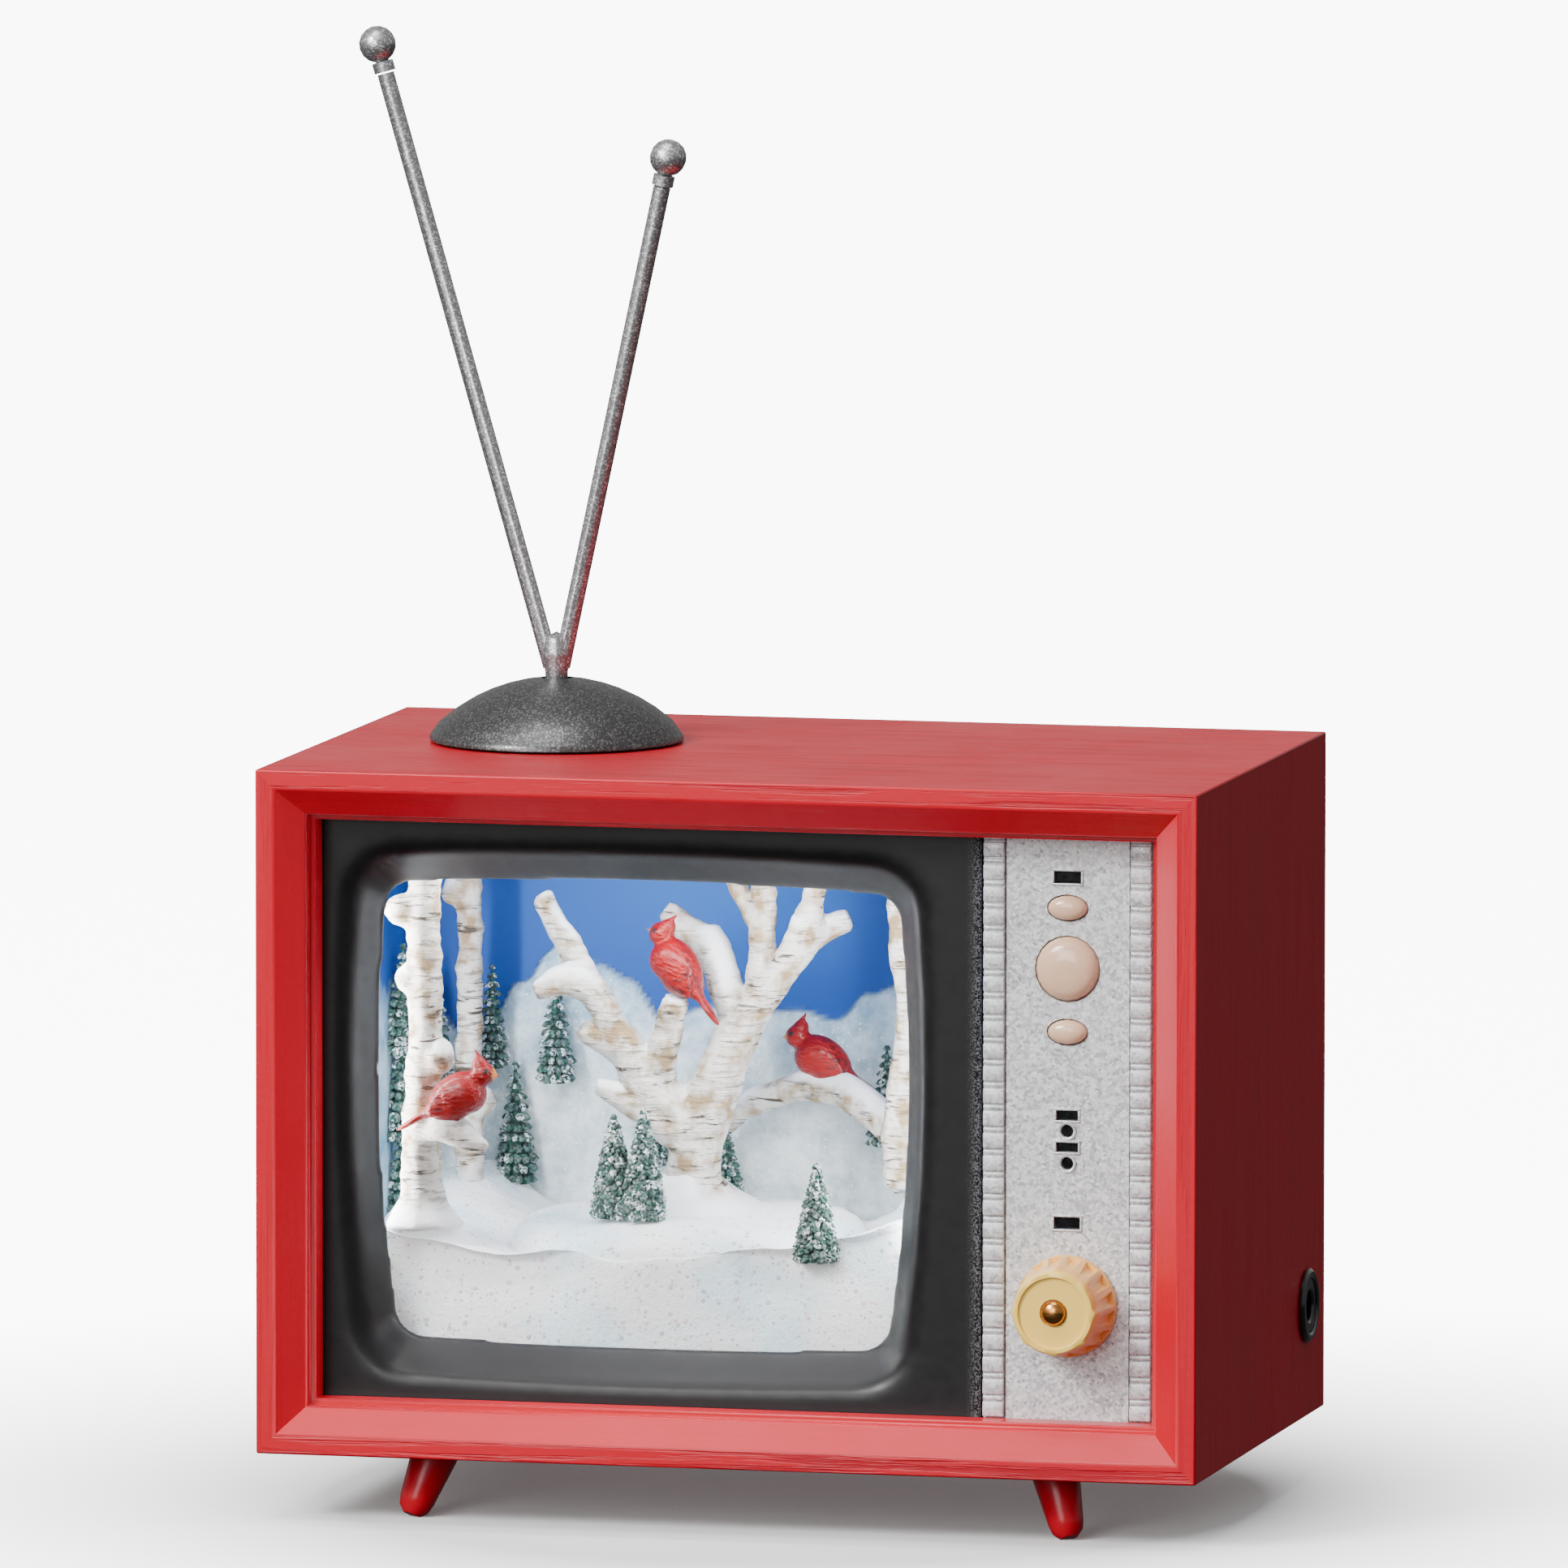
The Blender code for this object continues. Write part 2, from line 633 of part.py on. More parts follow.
# ---------------------------------------------------------------- screen
def barrel(half_x, half_z, bulge, corner, y, taper=SCREEN_TAPER, centre=SCREEN_CENTRE):
    """A rectangle with round corners and sides that bow outwards, slightly wider at the top."""
    loop = []
    for sx, sz, start in ((1, 1, 0), (-1, 1, 90), (-1, -1, 180), (1, -1, 270)):
        middle = (sx * (half_x - corner), sz * (half_z - corner))
        loop += arc(middle, corner, start, start + 90, CORNER_STEPS)
        end = loop[-1]
        following = (-sx, sz) if start in (0, 180) else (sx, -sz)
        span_x = following[0] * (half_x - corner)
        span_z = following[1] * (half_z - corner)
        goal = (span_x, end[1]) if start in (0, 180) else (end[0], span_z)
        for i in range(1, SIDE_STEPS):
            t = i / SIDE_STEPS
            bow = 4 * t * (1 - t)
            x = end[0] + (goal[0] - end[0]) * t
            z = end[1] + (goal[1] - end[1]) * t
            if start in (0, 180):
                z += math.copysign(bow * bulge[1], z)
            else:
                x += math.copysign(bow * bulge[0], x)
            loop.append((x, z))
    widen = [1 + taper * z / half_z for _, z in loop]
    return [(centre[0] + x * w, y, centre[1] + z) for (x, z), w in zip(loop, widen)]


def build_mask():
    """Rectangular sheet that funnels down to the barrel-shaped opening."""
    left = -(INNER_X - MASK_TUCK)
    low, high = INNER_BOTTOM + MASK_TUCK, INNER_TOP - MASK_TUCK
    centre = ((left + MASK_RIGHT) / 2, (low + high) / 2)
    outer = ((MASK_RIGHT - left) / 2, (high - low) / 2)
    no_bulge = (0, 0)
    front = PANEL_FACE
    steps = ((0.0080, 0.0080, 0.0, 0.6), (0.0058, 0.0066, 0.0007, 0.7), (0.0040, 0.0052, 0.0023, 0.85))
    loops = [barrel(*outer, no_bulge, 0.0006, front, 0, centre)]
    for wide, tall, down, bow in steps:
        half = (SCREEN_HALF[0] - SCREEN_BULGE[0] + wide, SCREEN_HALF[1] - SCREEN_BULGE[1] + tall)
        bulge = (SCREEN_BULGE[0] * bow, SCREEN_BULGE[1] * bow)
        loops.append(barrel(*half, bulge, SCREEN_CORNER + wide * 0.8, front + down))
    edge = (SCREEN_HALF[0] - SCREEN_BULGE[0], SCREEN_HALF[1] - SCREEN_BULGE[1])
    loops.append(barrel(*edge, SCREEN_BULGE, SCREEN_CORNER, SCREEN_EDGE))
    loops.append(barrel(*edge, SCREEN_BULGE, SCREEN_CORNER, SCREEN_EDGE + MASK_EDGE))
    shoulder = (edge[0] + 0.0030, edge[1] + 0.0030)
    loops.append(barrel(*shoulder, SCREEN_BULGE, SCREEN_CORNER + 0.003, SCREEN_EDGE + MASK_EDGE))
    root = (edge[0] + 0.0066, edge[1] + 0.0076)
    loops.append(barrel(*root, SCREEN_BULGE, SCREEN_CORNER + 0.006, MASK_BACK + 0.0006))
    loops.append(barrel(*outer, no_bulge, 0.0006, MASK_BACK, 0, centre))
    mask = add_part("screen_mask", loft(loops, ring=True), "black_mask", smooth=True)
    x_left, x_right = left + POST_INSET, MASK_RIGHT - POST_INSET
    z_low, z_high = low + POST_INSET, high - POST_INSET
    for x, z in ((x_left, z_high), (x_right, z_high), (x_right, z_low)):
        post = cylinder(POST_RADIUS, -(TUB_FRONT - FIT), -(MASK_BACK - MASK_SHEET / 2), 12)
        join(mask, add_tool(post, (x, 0, z), FACING_FRONT))


def build_window():
    half = (SCREEN_HALF[0] + WINDOW_MARGIN, SCREEN_HALF[1] + WINDOW_MARGIN)
    loop = [(x, z) for x, _, z in barrel(*half, (0, 0), 0.002, 0)]
    add_part("screen_window", prism(loop, "Y", WINDOW_FRONT, WINDOW_BACK), "window")


# ---------------------------------------------------------------- control panel
def ellipse(width, height, sides=20):
    angles = [2 * math.pi * i / sides for i in range(sides)]
    return [(width / 2 * math.cos(a), height / 2 * math.sin(a)) for a in angles]


def shifted(outline, x, z):
    return [(x + a, z + b) for a, b in outline]


def rectangle(width, height):
    x, z = width / 2, height / 2
    return [(-x, -z), (x, -z), (x, z), (-x, z)]


def build_panel():
    """Silver panel: a raised pad between the two trim strips, pierced for every control."""
    low, high = INNER_BOTTOM + MASK_TUCK, INNER_TOP - MASK_TUCK
    left, right = MASK_RIGHT + FIT, INNER_X - MASK_TUCK
    step = PANEL_FACE + PAD_RISE
    section = (
        (left, step),
        (PANEL_PAD[0], step),
        (PANEL_PAD[0], PANEL_FACE),
        (PANEL_PAD[1], PANEL_FACE),
        (PANEL_PAD[1], step),
        (right, step),
        (right, PANEL_BACK),
        (left, PANEL_BACK),
    )
    panel = add_part("control_panel", prism(section, "Z", low, high), "silver_paint")
    for x in (SWITCH_BOARD[0] + POST_RADIUS, SWITCH_BOARD[1] - POST_RADIUS):
        for z in (SWITCH_BOARD[2] + POST_RADIUS, SWITCH_BOARD[3] - POST_RADIUS):
            post = cylinder(POST_RADIUS * 0.8, -(SWITCH_BOARD_Y - FIT), -(PANEL_BACK - PANEL_SHEET / 2), 12)
            join(panel, add_tool(post, (x, 0, z), FACING_FRONT))
    holes = [shifted(rectangle(w, h), CONTROL_X, z) for z, w, h in SLOTS]
    holes += [shifted(ellipse(2 * DOT_RADIUS, 2 * DOT_RADIUS, 12), CONTROL_X, z) for z in DOTS]
    for z, wide, tall in (ROUND_BUTTON, UPPER_OVAL, LOWER_OVAL):
        holes.append(shifted(ellipse(wide + 2 * BUTTON_PLAY, tall + 2 * BUTTON_PLAY), CONTROL_X, z))
    bush = 2 * (POT_BUSH_RADIUS + FIT)
    holes.append(shifted(ellipse(bush, bush), CONTROL_X, KNOB_Z))
    for outline in holes:
        cut(panel, add_tool(prism(outline, "Y", 0, 2 * PANEL_BACK)))


def build_trims():
    """Strips whose front rises and falls in small waves along their length."""
    low = INNER_BOTTOM + BEVEL_WIDTH + LIP_WIDTH + FIT
    high = INNER_TOP - BEVEL_WIDTH - LIP_WIDTH - FIT
    back = PANEL_FACE + PAD_RISE - FIT
    count = round((high - low) / TRIM_PITCH) * TRIM_STEPS
    front = []
    for i in range(count + 1):
        wave = abs(math.sin(math.pi * i / TRIM_STEPS))
        front.append((back - TRIM_BASE - TRIM_RELIEF * wave, low + (high - low) * i / count))
    section = front + [(back, high), (back, low)]
    starts = {
        "trim_strip_left": PANEL_PAD[0] - FIT - TRIM_WIDTH,
        "trim_strip_right": PANEL_PAD[1] + FIT,
    }
    for name, x in starts.items():
        add_part(name, prism(section, "X", x, x + TRIM_WIDTH), "silver_paint")


def build_indicator_insert():
    """One black moulding behind the panel whose nibs stand in the slots and dots."""
    front = PANEL_BACK + FIT
    nib = PANEL_FACE + NIB_DEPTH
    spine_z = (SLOTS[-1][0] - 0.0030, SLOTS[1][0] + 0.0030)
    spine = prism(
        shifted(rectangle(0.0090, spine_z[1] - spine_z[0]), CONTROL_X, sum(spine_z) / 2),
        "Y",
        front,
        front + INSERT_SHEET,
    )
    insert = add_part("indicator_insert", spine, "black_gloss")
    arm_x = CONTROL_X + ROUND_BUTTON[1] / 2 + BUTTON_FLANGE + 2 * FIT
    arm_top = SLOTS[0][0] + 0.0020
    arm = (
        (CONTROL_X, spine_z[1] - 0.0030),
        (arm_x + 0.0022, spine_z[1] - 0.0030),
        (arm_x + 0.0022, arm_top),
        (CONTROL_X - 0.0030, arm_top),
        (CONTROL_X - 0.0030, arm_top - 0.0024),
        (arm_x, arm_top - 0.0024),
        (arm_x, spine_z[1]),
        (CONTROL_X, spine_z[1]),
    )
    join(insert, add_tool(prism(arm, "Y", front, front + INSERT_SHEET)))
    for z, wide, tall in SLOTS:
        shape = shifted(rectangle(wide - 2 * FIT, tall - 2 * FIT), CONTROL_X, z)
        join(insert, add_tool(prism(shape, "Y", nib, front + INSERT_SHEET / 2)))
    for z in DOTS:
        nib_size = 2 * (DOT_RADIUS - FIT)
        shape = shifted(ellipse(nib_size, nib_size, 12), CONTROL_X, z)
        join(insert, add_tool(prism(shape, "Y", nib, front + INSERT_SHEET / 2)))


def build_buttons():
    """Domed caps with a flange behind the panel and a stem to the switch."""
    for name, size, rise, travel in (
        ("round_button", ROUND_BUTTON, 0.0021, ROUND_TRAVEL),
        ("upper_oval_button", UPPER_OVAL, 0.0016, OVAL_TRAVEL),
        ("lower_oval_button", LOWER_OVAL, 0.0016, OVAL_TRAVEL),
    ):
        z, wide, tall = size
        flange_front = PANEL_BACK + FIT
        sections = (
            (0.30, -rise),
            (0.68, -rise * 0.88),
            (0.90, -rise * 0.52),
            (1.00, 0.0),
            (1.00, flange_front - PANEL_FACE),
        )
        loops = []
        for share, depth in sections:
            outline = ellipse(wide * share, tall * share)
            loops.append([(a, depth, b) for a, b in outline])
        grown = ellipse(wide + 2 * BUTTON_FLANGE, tall + 2 * BUTTON_FLANGE)
        for depth in (flange_front - PANEL_FACE, flange_front - PANEL_FACE + 0.0010):
            loops.append([(a, depth, b) for a, b in grown])
        button = add_part(name, loft(loops), "beige_gloss", (CONTROL_X, PANEL_FACE, z), smooth=True)
        stem = cylinder(STEM_RADIUS, -(SWITCH_FRONT - travel - FIT), -(flange_front + 0.0005), 12)
        join(button, add_tool(stem, (CONTROL_X, 0, z), FACING_FRONT))


def build_switch_board():
    """Small circuit board with one push switch behind each button."""
    x0, x1, z0, z1 = SWITCH_BOARD
    board = add_part(
        "switch_board", box((x0, SWITCH_BOARD_Y, z0), (x1, SWITCH_BOARD_Y + BOARD_SHEET, z1)), "circuit"
    )
    half = SWITCH_BODY / 2
    for z in (ROUND_BUTTON[0], UPPER_OVAL[0], LOWER_OVAL[0]):
        low = (CONTROL_X - half, SWITCH_FRONT + SWITCH_PLUNGER, z - half)
        high = (CONTROL_X + half, SWITCH_BOARD_Y + BOARD_SHEET / 2, z + half)
        join(board, add_tool(box(low, high)))
        plunger = cylinder(STEM_RADIUS, -(SWITCH_FRONT + 2 * SWITCH_PLUNGER), -SWITCH_FRONT, 12)
        join(board, add_tool(plunger, (CONTROL_X, 0, z), FACING_FRONT))


def rib_radius(angle, depth):
    """Radius of the knob's side: tapering, with long and short ribs by turns."""
    body = KNOB_FACE_RADIUS + (KNOB_BODY_RADIUS - KNOB_FACE_RADIUS) * depth
    turn = angle / (2 * math.pi) * KNOB_RIBS
    rib = round(turn) % KNOB_RIBS
    near = abs(turn - round(turn))
    reach = 1.0 if rib % 2 == 0 else max(0.0, (depth - 0.35) / 0.65)
    return body + (RIB_HEIGHT * reach * (0.25 + 0.75 * depth) if near < 0.2 else 0.0)


def build_knob():
    """Ribbed knob on a skirt, recessed face and bronze centre, all on the shaft's axis."""
    steps = KNOB_RIBS * 4
    angles = [2 * math.pi * (i + 0.5) / steps for i in range(steps)]
    body = KNOB_DEPTH - SKIRT_SHEET
    loops = []

    def ring(radius, height):
        loops.append([(radius * math.cos(a), radius * math.sin(a), height) for a in angles])

    ring(KNOB_FACE_RADIUS - 0.0012, KNOB_DEPTH - 0.0006)
    ring(KNOB_FACE_RADIUS - 0.0010, KNOB_DEPTH)
    ring(KNOB_FACE_RADIUS - 0.0003, KNOB_DEPTH)
    for depth in (0.0, 0.35, 1.0):
        height = KNOB_DEPTH - 0.0004 - (body - 0.0004) * depth
        radii = [rib_radius(a, depth) for a in angles]
        loops.append([(r * math.cos(a), r * math.sin(a), height) for r, a in zip(radii, angles)])
    ring(KNOB_SKIRT_RADIUS - 0.0003, SKIRT_SHEET)
    ring(KNOB_SKIRT_RADIUS, SKIRT_SHEET * 0.6)
    ring(KNOB_SKIRT_RADIUS, 0)
    at = (CONTROL_X, PANEL_FACE - FIT, KNOB_Z)
    knob = add_part("volume_knob", loft(loops), "cream_plastic", at, FACING_FRONT)
    bore = cylinder(POT_SHAFT_RADIUS + FIT, -0.001, KNOB_DEPTH - KNOB_FACE_SHEET, 20)
    cut(knob, add_tool(bore, at, FACING_FRONT))
    seat = cylinder(HUB_RADIUS + FIT, KNOB_DEPTH - HUB_SINK - FIT, KNOB_DEPTH + 0.001, 20)
    cut(knob, add_tool(seat, at, FACING_FRONT))
    base = KNOB_DEPTH - HUB_SINK
    dome = [(HUB_RADIUS * math.sin(a), KNOB_DEPTH + 0.0002 - 0.0006 + 0.0012 * math.cos(a)) for a in
            [math.radians(90 * i / 4) for i in range(5)]]
    turned("knob_hub", dome + [(HUB_RADIUS, base), (0, base)], "bronze", at, FACING_FRONT, 20)


def build_potentiometer():
    """Rotary control behind the panel: can, threaded bush and the shaft the knob sits on."""
    bore = POT_SHAFT_RADIUS + SHAFT_PLAY
    bush_end = PANEL_FACE + PAD_RISE
    can_front = PANEL_BACK + FIT
    can_back = can_front + POT_CAN_DEPTH
    profile = [
        (0, -can_back + 0.0015),
        (bore, -can_back + 0.0015),
        (bore, -bush_end),
        (POT_BUSH_RADIUS, -bush_end),
        (POT_BUSH_RADIUS, -can_front),
        (POT_CAN_RADIUS, -can_front),
        (POT_CAN_RADIUS, -can_back),
        (0, -can_back),
    ]
    at = (CONTROL_X, 0, KNOB_Z)
    turned("potentiometer_body", profile, "steel", at, FACING_FRONT, 24)
    tip = -(PANEL_FACE - KNOB_DEPTH + KNOB_FACE_SHEET + 2 * FIT)
    root = -(can_back - 0.0015 - FIT)
    edge = POT_SHAFT_RADIUS - FIT
    shaft = [(0, tip), (edge, tip), (POT_SHAFT_RADIUS, tip - FIT), (POT_SHAFT_RADIUS, root), (0, root)]
    turned("potentiometer_shaft", shaft, "steel", at, FACING_FRONT, 20)


# ---------------------------------------------------------------- scene
def build_tub():
    """Open-fronted housing of the scene, with a flange against the mask's posts."""
    tub = add_part(
        "scene_tub", box((TUB_LEFT, TUB_FRONT, TUB_BOTTOM), (TUB_RIGHT, TUB_BACK, TUB_TOP)), "blue_tub"
    )
    flange_high = (MASK_RIGHT - FIT, TUB_FRONT + TUB_WALL, INNER_TOP - MASK_TUCK)
    join(tub, add_tool(box((TUB_LEFT - FIT, TUB_FRONT, TUB_BOTTOM - FIT), flange_high)))
    inner_low = (TUB_LEFT + TUB_WALL, 0, TUB_BOTTOM + TUB_WALL)
    inner_high = (TUB_RIGHT - TUB_WALL, TUB_BACK - TUB_WALL, TUB_TOP - TUB_WALL)
    cut(tub, add_tool(box(inner_low, inner_high)))


def bump(value, middle, wide):
    return math.exp(-(((value - middle) / wide) ** 2))


def ramp(value, start, length):
    """Rises from 0 to 1 along a stretch."""
    return min(1.0, max(0.0, (value - start) / length))


def hill_depth(x, z):
    """How far the painted hills stand out of the backdrop."""
    crest = HILL_BASE + max(tall * bump(x, middle, wide) for middle, wide, tall in HILLS)
    return BACKDROP_RELIEF * ramp(crest, z, 0.006)


def build_backdrop():
    """Sky and hills: a sheet with the hills in low relief."""
    low = (TUB_LEFT + TUB_WALL + FIT, TUB_BOTTOM + TUB_WALL + FIT)
    high = (TUB_RIGHT - TUB_WALL - FIT, TUB_TOP - TUB_WALL - FIT)
    back = TUB_BACK - TUB_WALL - FIT
    bm = bmesh.new()
    bmesh.ops.create_grid(bm, x_segments=BACKDROP_GRID[0], y_segments=BACKDROP_GRID[1], size=0.5)
    for vert in bm.verts:
        x = low[0] + (vert.co.x + 0.5) * (high[0] - low[0])
        z = low[1] + (vert.co.y + 0.5) * (high[1] - low[1])
        vert.co = (x, back - BACKDROP_SHEET - hill_depth(x, z), z)
    raised = bmesh.ops.extrude_face_region(bm, geom=bm.faces[:])
    for vert in raised["geom"]:
        if isinstance(vert, bmesh.types.BMVert):
            vert.co.y = back
    backdrop = add_part("scene_backdrop", to_mesh(bm, "backdrop"), "snow", smooth=True)
    x, radius = BACK_TRUNK
    trunk = cylinder(radius, HILL_BASE - 0.014, high[1] - FIT, 12)
    join(backdrop, add_tool(trunk, (x, back - BACKDROP_SHEET - radius / 2, 0)))


def snow_height(x, y):
    """Top of the fixed snow: steep behind the window, then rolling, higher at both sides."""
    slope = 0.0013 + 0.0040 * ramp(abs(x - AXIS[0]), 0.0180, 0.0150)
    climb = math.sin(ramp(y, TUB_FRONT + FIT, slope) * math.pi / 2)
    crest = 0.0158 + 0.0024 * bump(x, -0.0020, 0.0090) + 0.0014 * bump(x, -0.0420, 0.0080)
    left = 0.0062 * bump(x, -0.0700, 0.0110) * ramp(y, TUB_FRONT, 0.0080)
    right = 0.0100 * ramp(x, 0.0060, 0.0240) * ramp(y, TUB_FRONT, 0.0150)
    behind = 0.0060 * ramp(abs(x - AXIS[0]), 0.0300, 0.0200) * ramp(y, 0.0600, 0.0300)
    return SNOW_FRONT + crest * climb + left + right + behind


def build_snow_bank():
    """Fixed snow, as a closed block with a round well for the turning disc."""
    low = (TUB_LEFT + TUB_WALL + FIT, TUB_FRONT + FIT)
    high = (TUB_RIGHT - TUB_WALL - FIT, AXIS[1] + DISC_RADIUS - 2 * DISC_CLEARANCE)
    base = TUB_BOTTOM + TUB_WALL + FIT
    bm = bmesh.new()
    bmesh.ops.create_grid(bm, x_segments=SNOW_GRID[0], y_segments=SNOW_GRID[1], size=0.5)
    for vert in bm.verts:
        x = low[0] + (vert.co.x + 0.5) * (high[0] - low[0])
        share = (vert.co.y + 0.5) ** 1.6
        y = low[1] + share * (high[1] - low[1])
        vert.co = (x, y, snow_height(x, y))
    raised = bmesh.ops.extrude_face_region(bm, geom=bm.faces[:])
    for vert in raised["geom"]:
        if isinstance(vert, bmesh.types.BMVert):
            vert.co.z = base
    bank = add_part("snow_bank", to_mesh(bm, "snow"), "snow", smooth=True)
    well = cylinder(DISC_RADIUS + DISC_CLEARANCE, 0, CABINET_HEIGHT, 48)
    cut(bank, add_tool(well, (*AXIS, 0)))
    return bank


def disc_top(radius):
    """Height of the disc's crown at a distance from its axis."""
    share = radius / DISC_RADIUS
    return DISC_CROWN_Z - (DISC_CROWN_Z - DISC_RIM_Z) * share**2


def build_disc():
    """Crowned snow disc with a rounded rim and a socket for the gear's shaft."""
    rim = DISC_RADIUS
    profile = [(rim * share, disc_top(rim * share)) for share in (0, 0.35, 0.6, 0.75)]
    turn = DISC_EDGE_RADIUS
    for degrees in (75, 50, 25, 0):
        a = math.radians(degrees)
        profile.append((rim - turn * (1 - math.cos(a)), DISC_RIM_Z - turn * (1 - math.sin(a))))
    profile += [
        (rim, DISC_BASE_Z),
        (SOCKET_RADIUS, DISC_BASE_Z),
        (SOCKET_RADIUS, DISC_BASE_Z + SOCKET_DEPTH),
        (0, DISC_BASE_Z + SOCKET_DEPTH),
    ]
    turned("snow_disc", profile, "snow", (*AXIS, 0), UPRIGHT, 40)


def build_birch():
    """The turning birch: a short trunk that forks into bare branches."""
    foot = DISC_CROWN_Z + FIT
    trunk = limb(TREE_TRUNK, TREE_TRUNK_RADII)
    tree = add_part("birch_tree", trunk, "birch", (*AXIS, 0), smooth=True)
    for points, radii in TREE_BRANCHES:
        join(tree, add_tool(limb(points, radii), (*AXIS, 0)))
    low, high, tall = TREE_FLARE
    skirt = cylinder(low, foot, foot + tall, 16, top_radius=high)
    join(tree, add_tool(skirt, (*AXIS, 0)))
    floor = box((-DISC_RADIUS, -DISC_RADIUS, 0), (DISC_RADIUS, DISC_RADIUS, foot))
    cut(tree, add_tool(floor, (*AXIS, 0)))
    return tree


def bird_mesh(length):
    """A perched cardinal along X, head at +X: tail, body, breast, head and crest in one casting."""
    stations = (
        (-0.50, -0.285, 0.022, 0.016),
        (-0.34, -0.185, 0.040, 0.024),
        (-0.18, -0.085, 0.062, 0.052),
        (-0.05, -0.010, 0.120, 0.130),
        (0.10, 0.045, 0.150, 0.165),
        (0.22, 0.120, 0.130, 0.140),
        (0.28, 0.200, 0.098, 0.095),
        (0.32, 0.265, 0.092, 0.085),
        (0.36, 0.320, 0.070, 0.060),
    )
    loops = []
    for i, (x, z, wide, tall) in enumerate(stations):
        before = stations[max(i - 1, 0)]
        after = stations[min(i + 1, len(stations) - 1)]
        along = Vector((after[0] - before[0], 0, after[1] - before[1])).normalized()
        up = Vector((-along.z, 0, along.x))
        side = Vector((0, 1, 0))
        middle = Vector((x, 0, z))
        ring = []
        for k in range(BIRD_SIDES):
            a = 2 * math.pi * k / BIRD_SIDES
            ring.append((middle + side * (wide * math.cos(a)) + up * (tall * math.sin(a))) * length)
        loops.append(ring)
    return loft(loops)


def add_bird(name, foot, length, heading, pitch):
    """A cardinal whose feet stand at a place, turned to its heading, with its head raised."""
    at = (foot[0], foot[1], foot[2] + BIRD_LIFT * length)
    turn = (0, math.radians(-pitch), math.radians(heading))
    bird = add_part(name, bird_mesh(length), "cardinal", at, turn, smooth=True)
    pieces = (
        (cylinder(0.055 * length, 0, 0.17 * length, 8, 0.008 * length), (0.27, 0.34), -20),
        (cylinder(0.035 * length, 0, 0.10 * length, 8, 0.006 * length), (0.38, 0.27), 105),
    )
    for mesh, (x, z), tilt in pieces:
        mesh.transform(Matrix.Rotation(math.radians(tilt), 4, "Y"))
        mesh.transform(Matrix.Translation((x * length, 0, z * length)))
        join(bird, add_tool(mesh, at, turn))
    return bird


def fir_profile(height, radius, tiers):
    """Stepped outline of a small conifer."""
    profile = [(0, height)]
    for i in range(tiers):
        share = (i + 1) / tiers
        z = height * (1 - share * 0.92)
        profile.append((radius * (0.25 + 0.75 * share), z))
        profile.append((radius * (0.12 + 0.62 * share), z))
    profile[-1] = (0.3 * radius, profile[-1][1])
    return profile + [(0.3 * radius, 0), (0, 0)]


def build_firs():
    """Glittered conifers: a joined pair on the disc and one on the fixed snow."""
    (ax, ay), (bx, by) = SMALL_FIRS
    tall, wide = SMALL_FIR
    foot = disc_top(math.hypot(ax, ay) - wide / 2) + FIT
    first_at = (AXIS[0] + ax, AXIS[1] + ay, foot)
    second_at = (AXIS[0] + bx, AXIS[1] + by, foot + FIT)
    first = turned("small_firs", fir_profile(tall, wide, 4), "fir", first_at, sides=10)
    second = turned("", fir_profile(tall + 0.0015, wide, 4), "fir", second_at, sides=10, tool=True)
    join(first, second)
    x, y = FRONT_FIR[0], TUB_FRONT + FRONT_FIR[1]
    tall, wide = FRONT_FIR_SIZE
    turned("front_fir", fir_profile(tall, wide, 5), "fir", (x, y, snow_height(x, y) + SNOW_SEAT), sides=10)


def trunk_foot(x, y):
    """Height at which a fixed trunk clears the snow all round its root."""
    steps = (-TRUNK_ROOT, 0, TRUNK_ROOT)
    return SNOW_SEAT + max(snow_height(x + dx, y + dy) for dx in steps for dy in steps)


def build_left_birch():
    """Fixed birch at the left with its short snowy perch."""
    x, y = LEFT_BIRCH
    top = TUB_TOP - TUB_WALL - 4 * FIT
    points = (
        (x, y, trunk_foot(x, y)),
        (x - 0.0006, y, 0.062),
        (x + 0.0004, y, 0.080),
        (x - 0.0002, y, 0.098),
        (x + 0.0014, y, top),
    )
    tree = add_part("left_birch", limb(points, LEFT_BIRCH_RADII), "birch", smooth=True)
    perch = (
        (x, y, 0.0590),
        (x + 0.0050, y - 0.0045, 0.0602),
        (x + 0.0100, y - 0.0050, 0.0585),
        (x + 0.0140, y - 0.0050, 0.0560),
    )
    join(tree, add_tool(limb(perch, (0.0028, 0.0029, 0.0024, 0.0015))))
    for z, dx, size in ((0.0730, 0.0030, 0.0034), (0.1015, -0.0042, 0.0034), (0.0880, -0.0030, 0.0026)):
        bm = bmesh.new()
        bmesh.ops.create_icosphere(bm, subdivisions=2, radius=size)
        join(tree, add_tool(to_mesh(bm, "snow_knob"), (x + dx, y - 0.0008, z)))


def build_right_arch():
    """Fixed birch at the right edge whose bough arches back over the disc's rim."""
    x, y = RIGHT_BIRCH
    top = TUB_TOP - TUB_WALL - 4 * FIT
    points = (
        (x, y, trunk_foot(x, y)),
        (x - 0.0010, y, 0.062),
        (x + 0.0010, y, 0.080),
        (x - 0.0010, y, 0.098),
        (x - 0.0005, y, top),
    )
    tree = add_part("right_arch", limb(points, RIGHT_BIRCH_RADII), "birch", smooth=True)
    join(tree, add_tool(limb(ARCH_BOUGH, ARCH_RADII)))


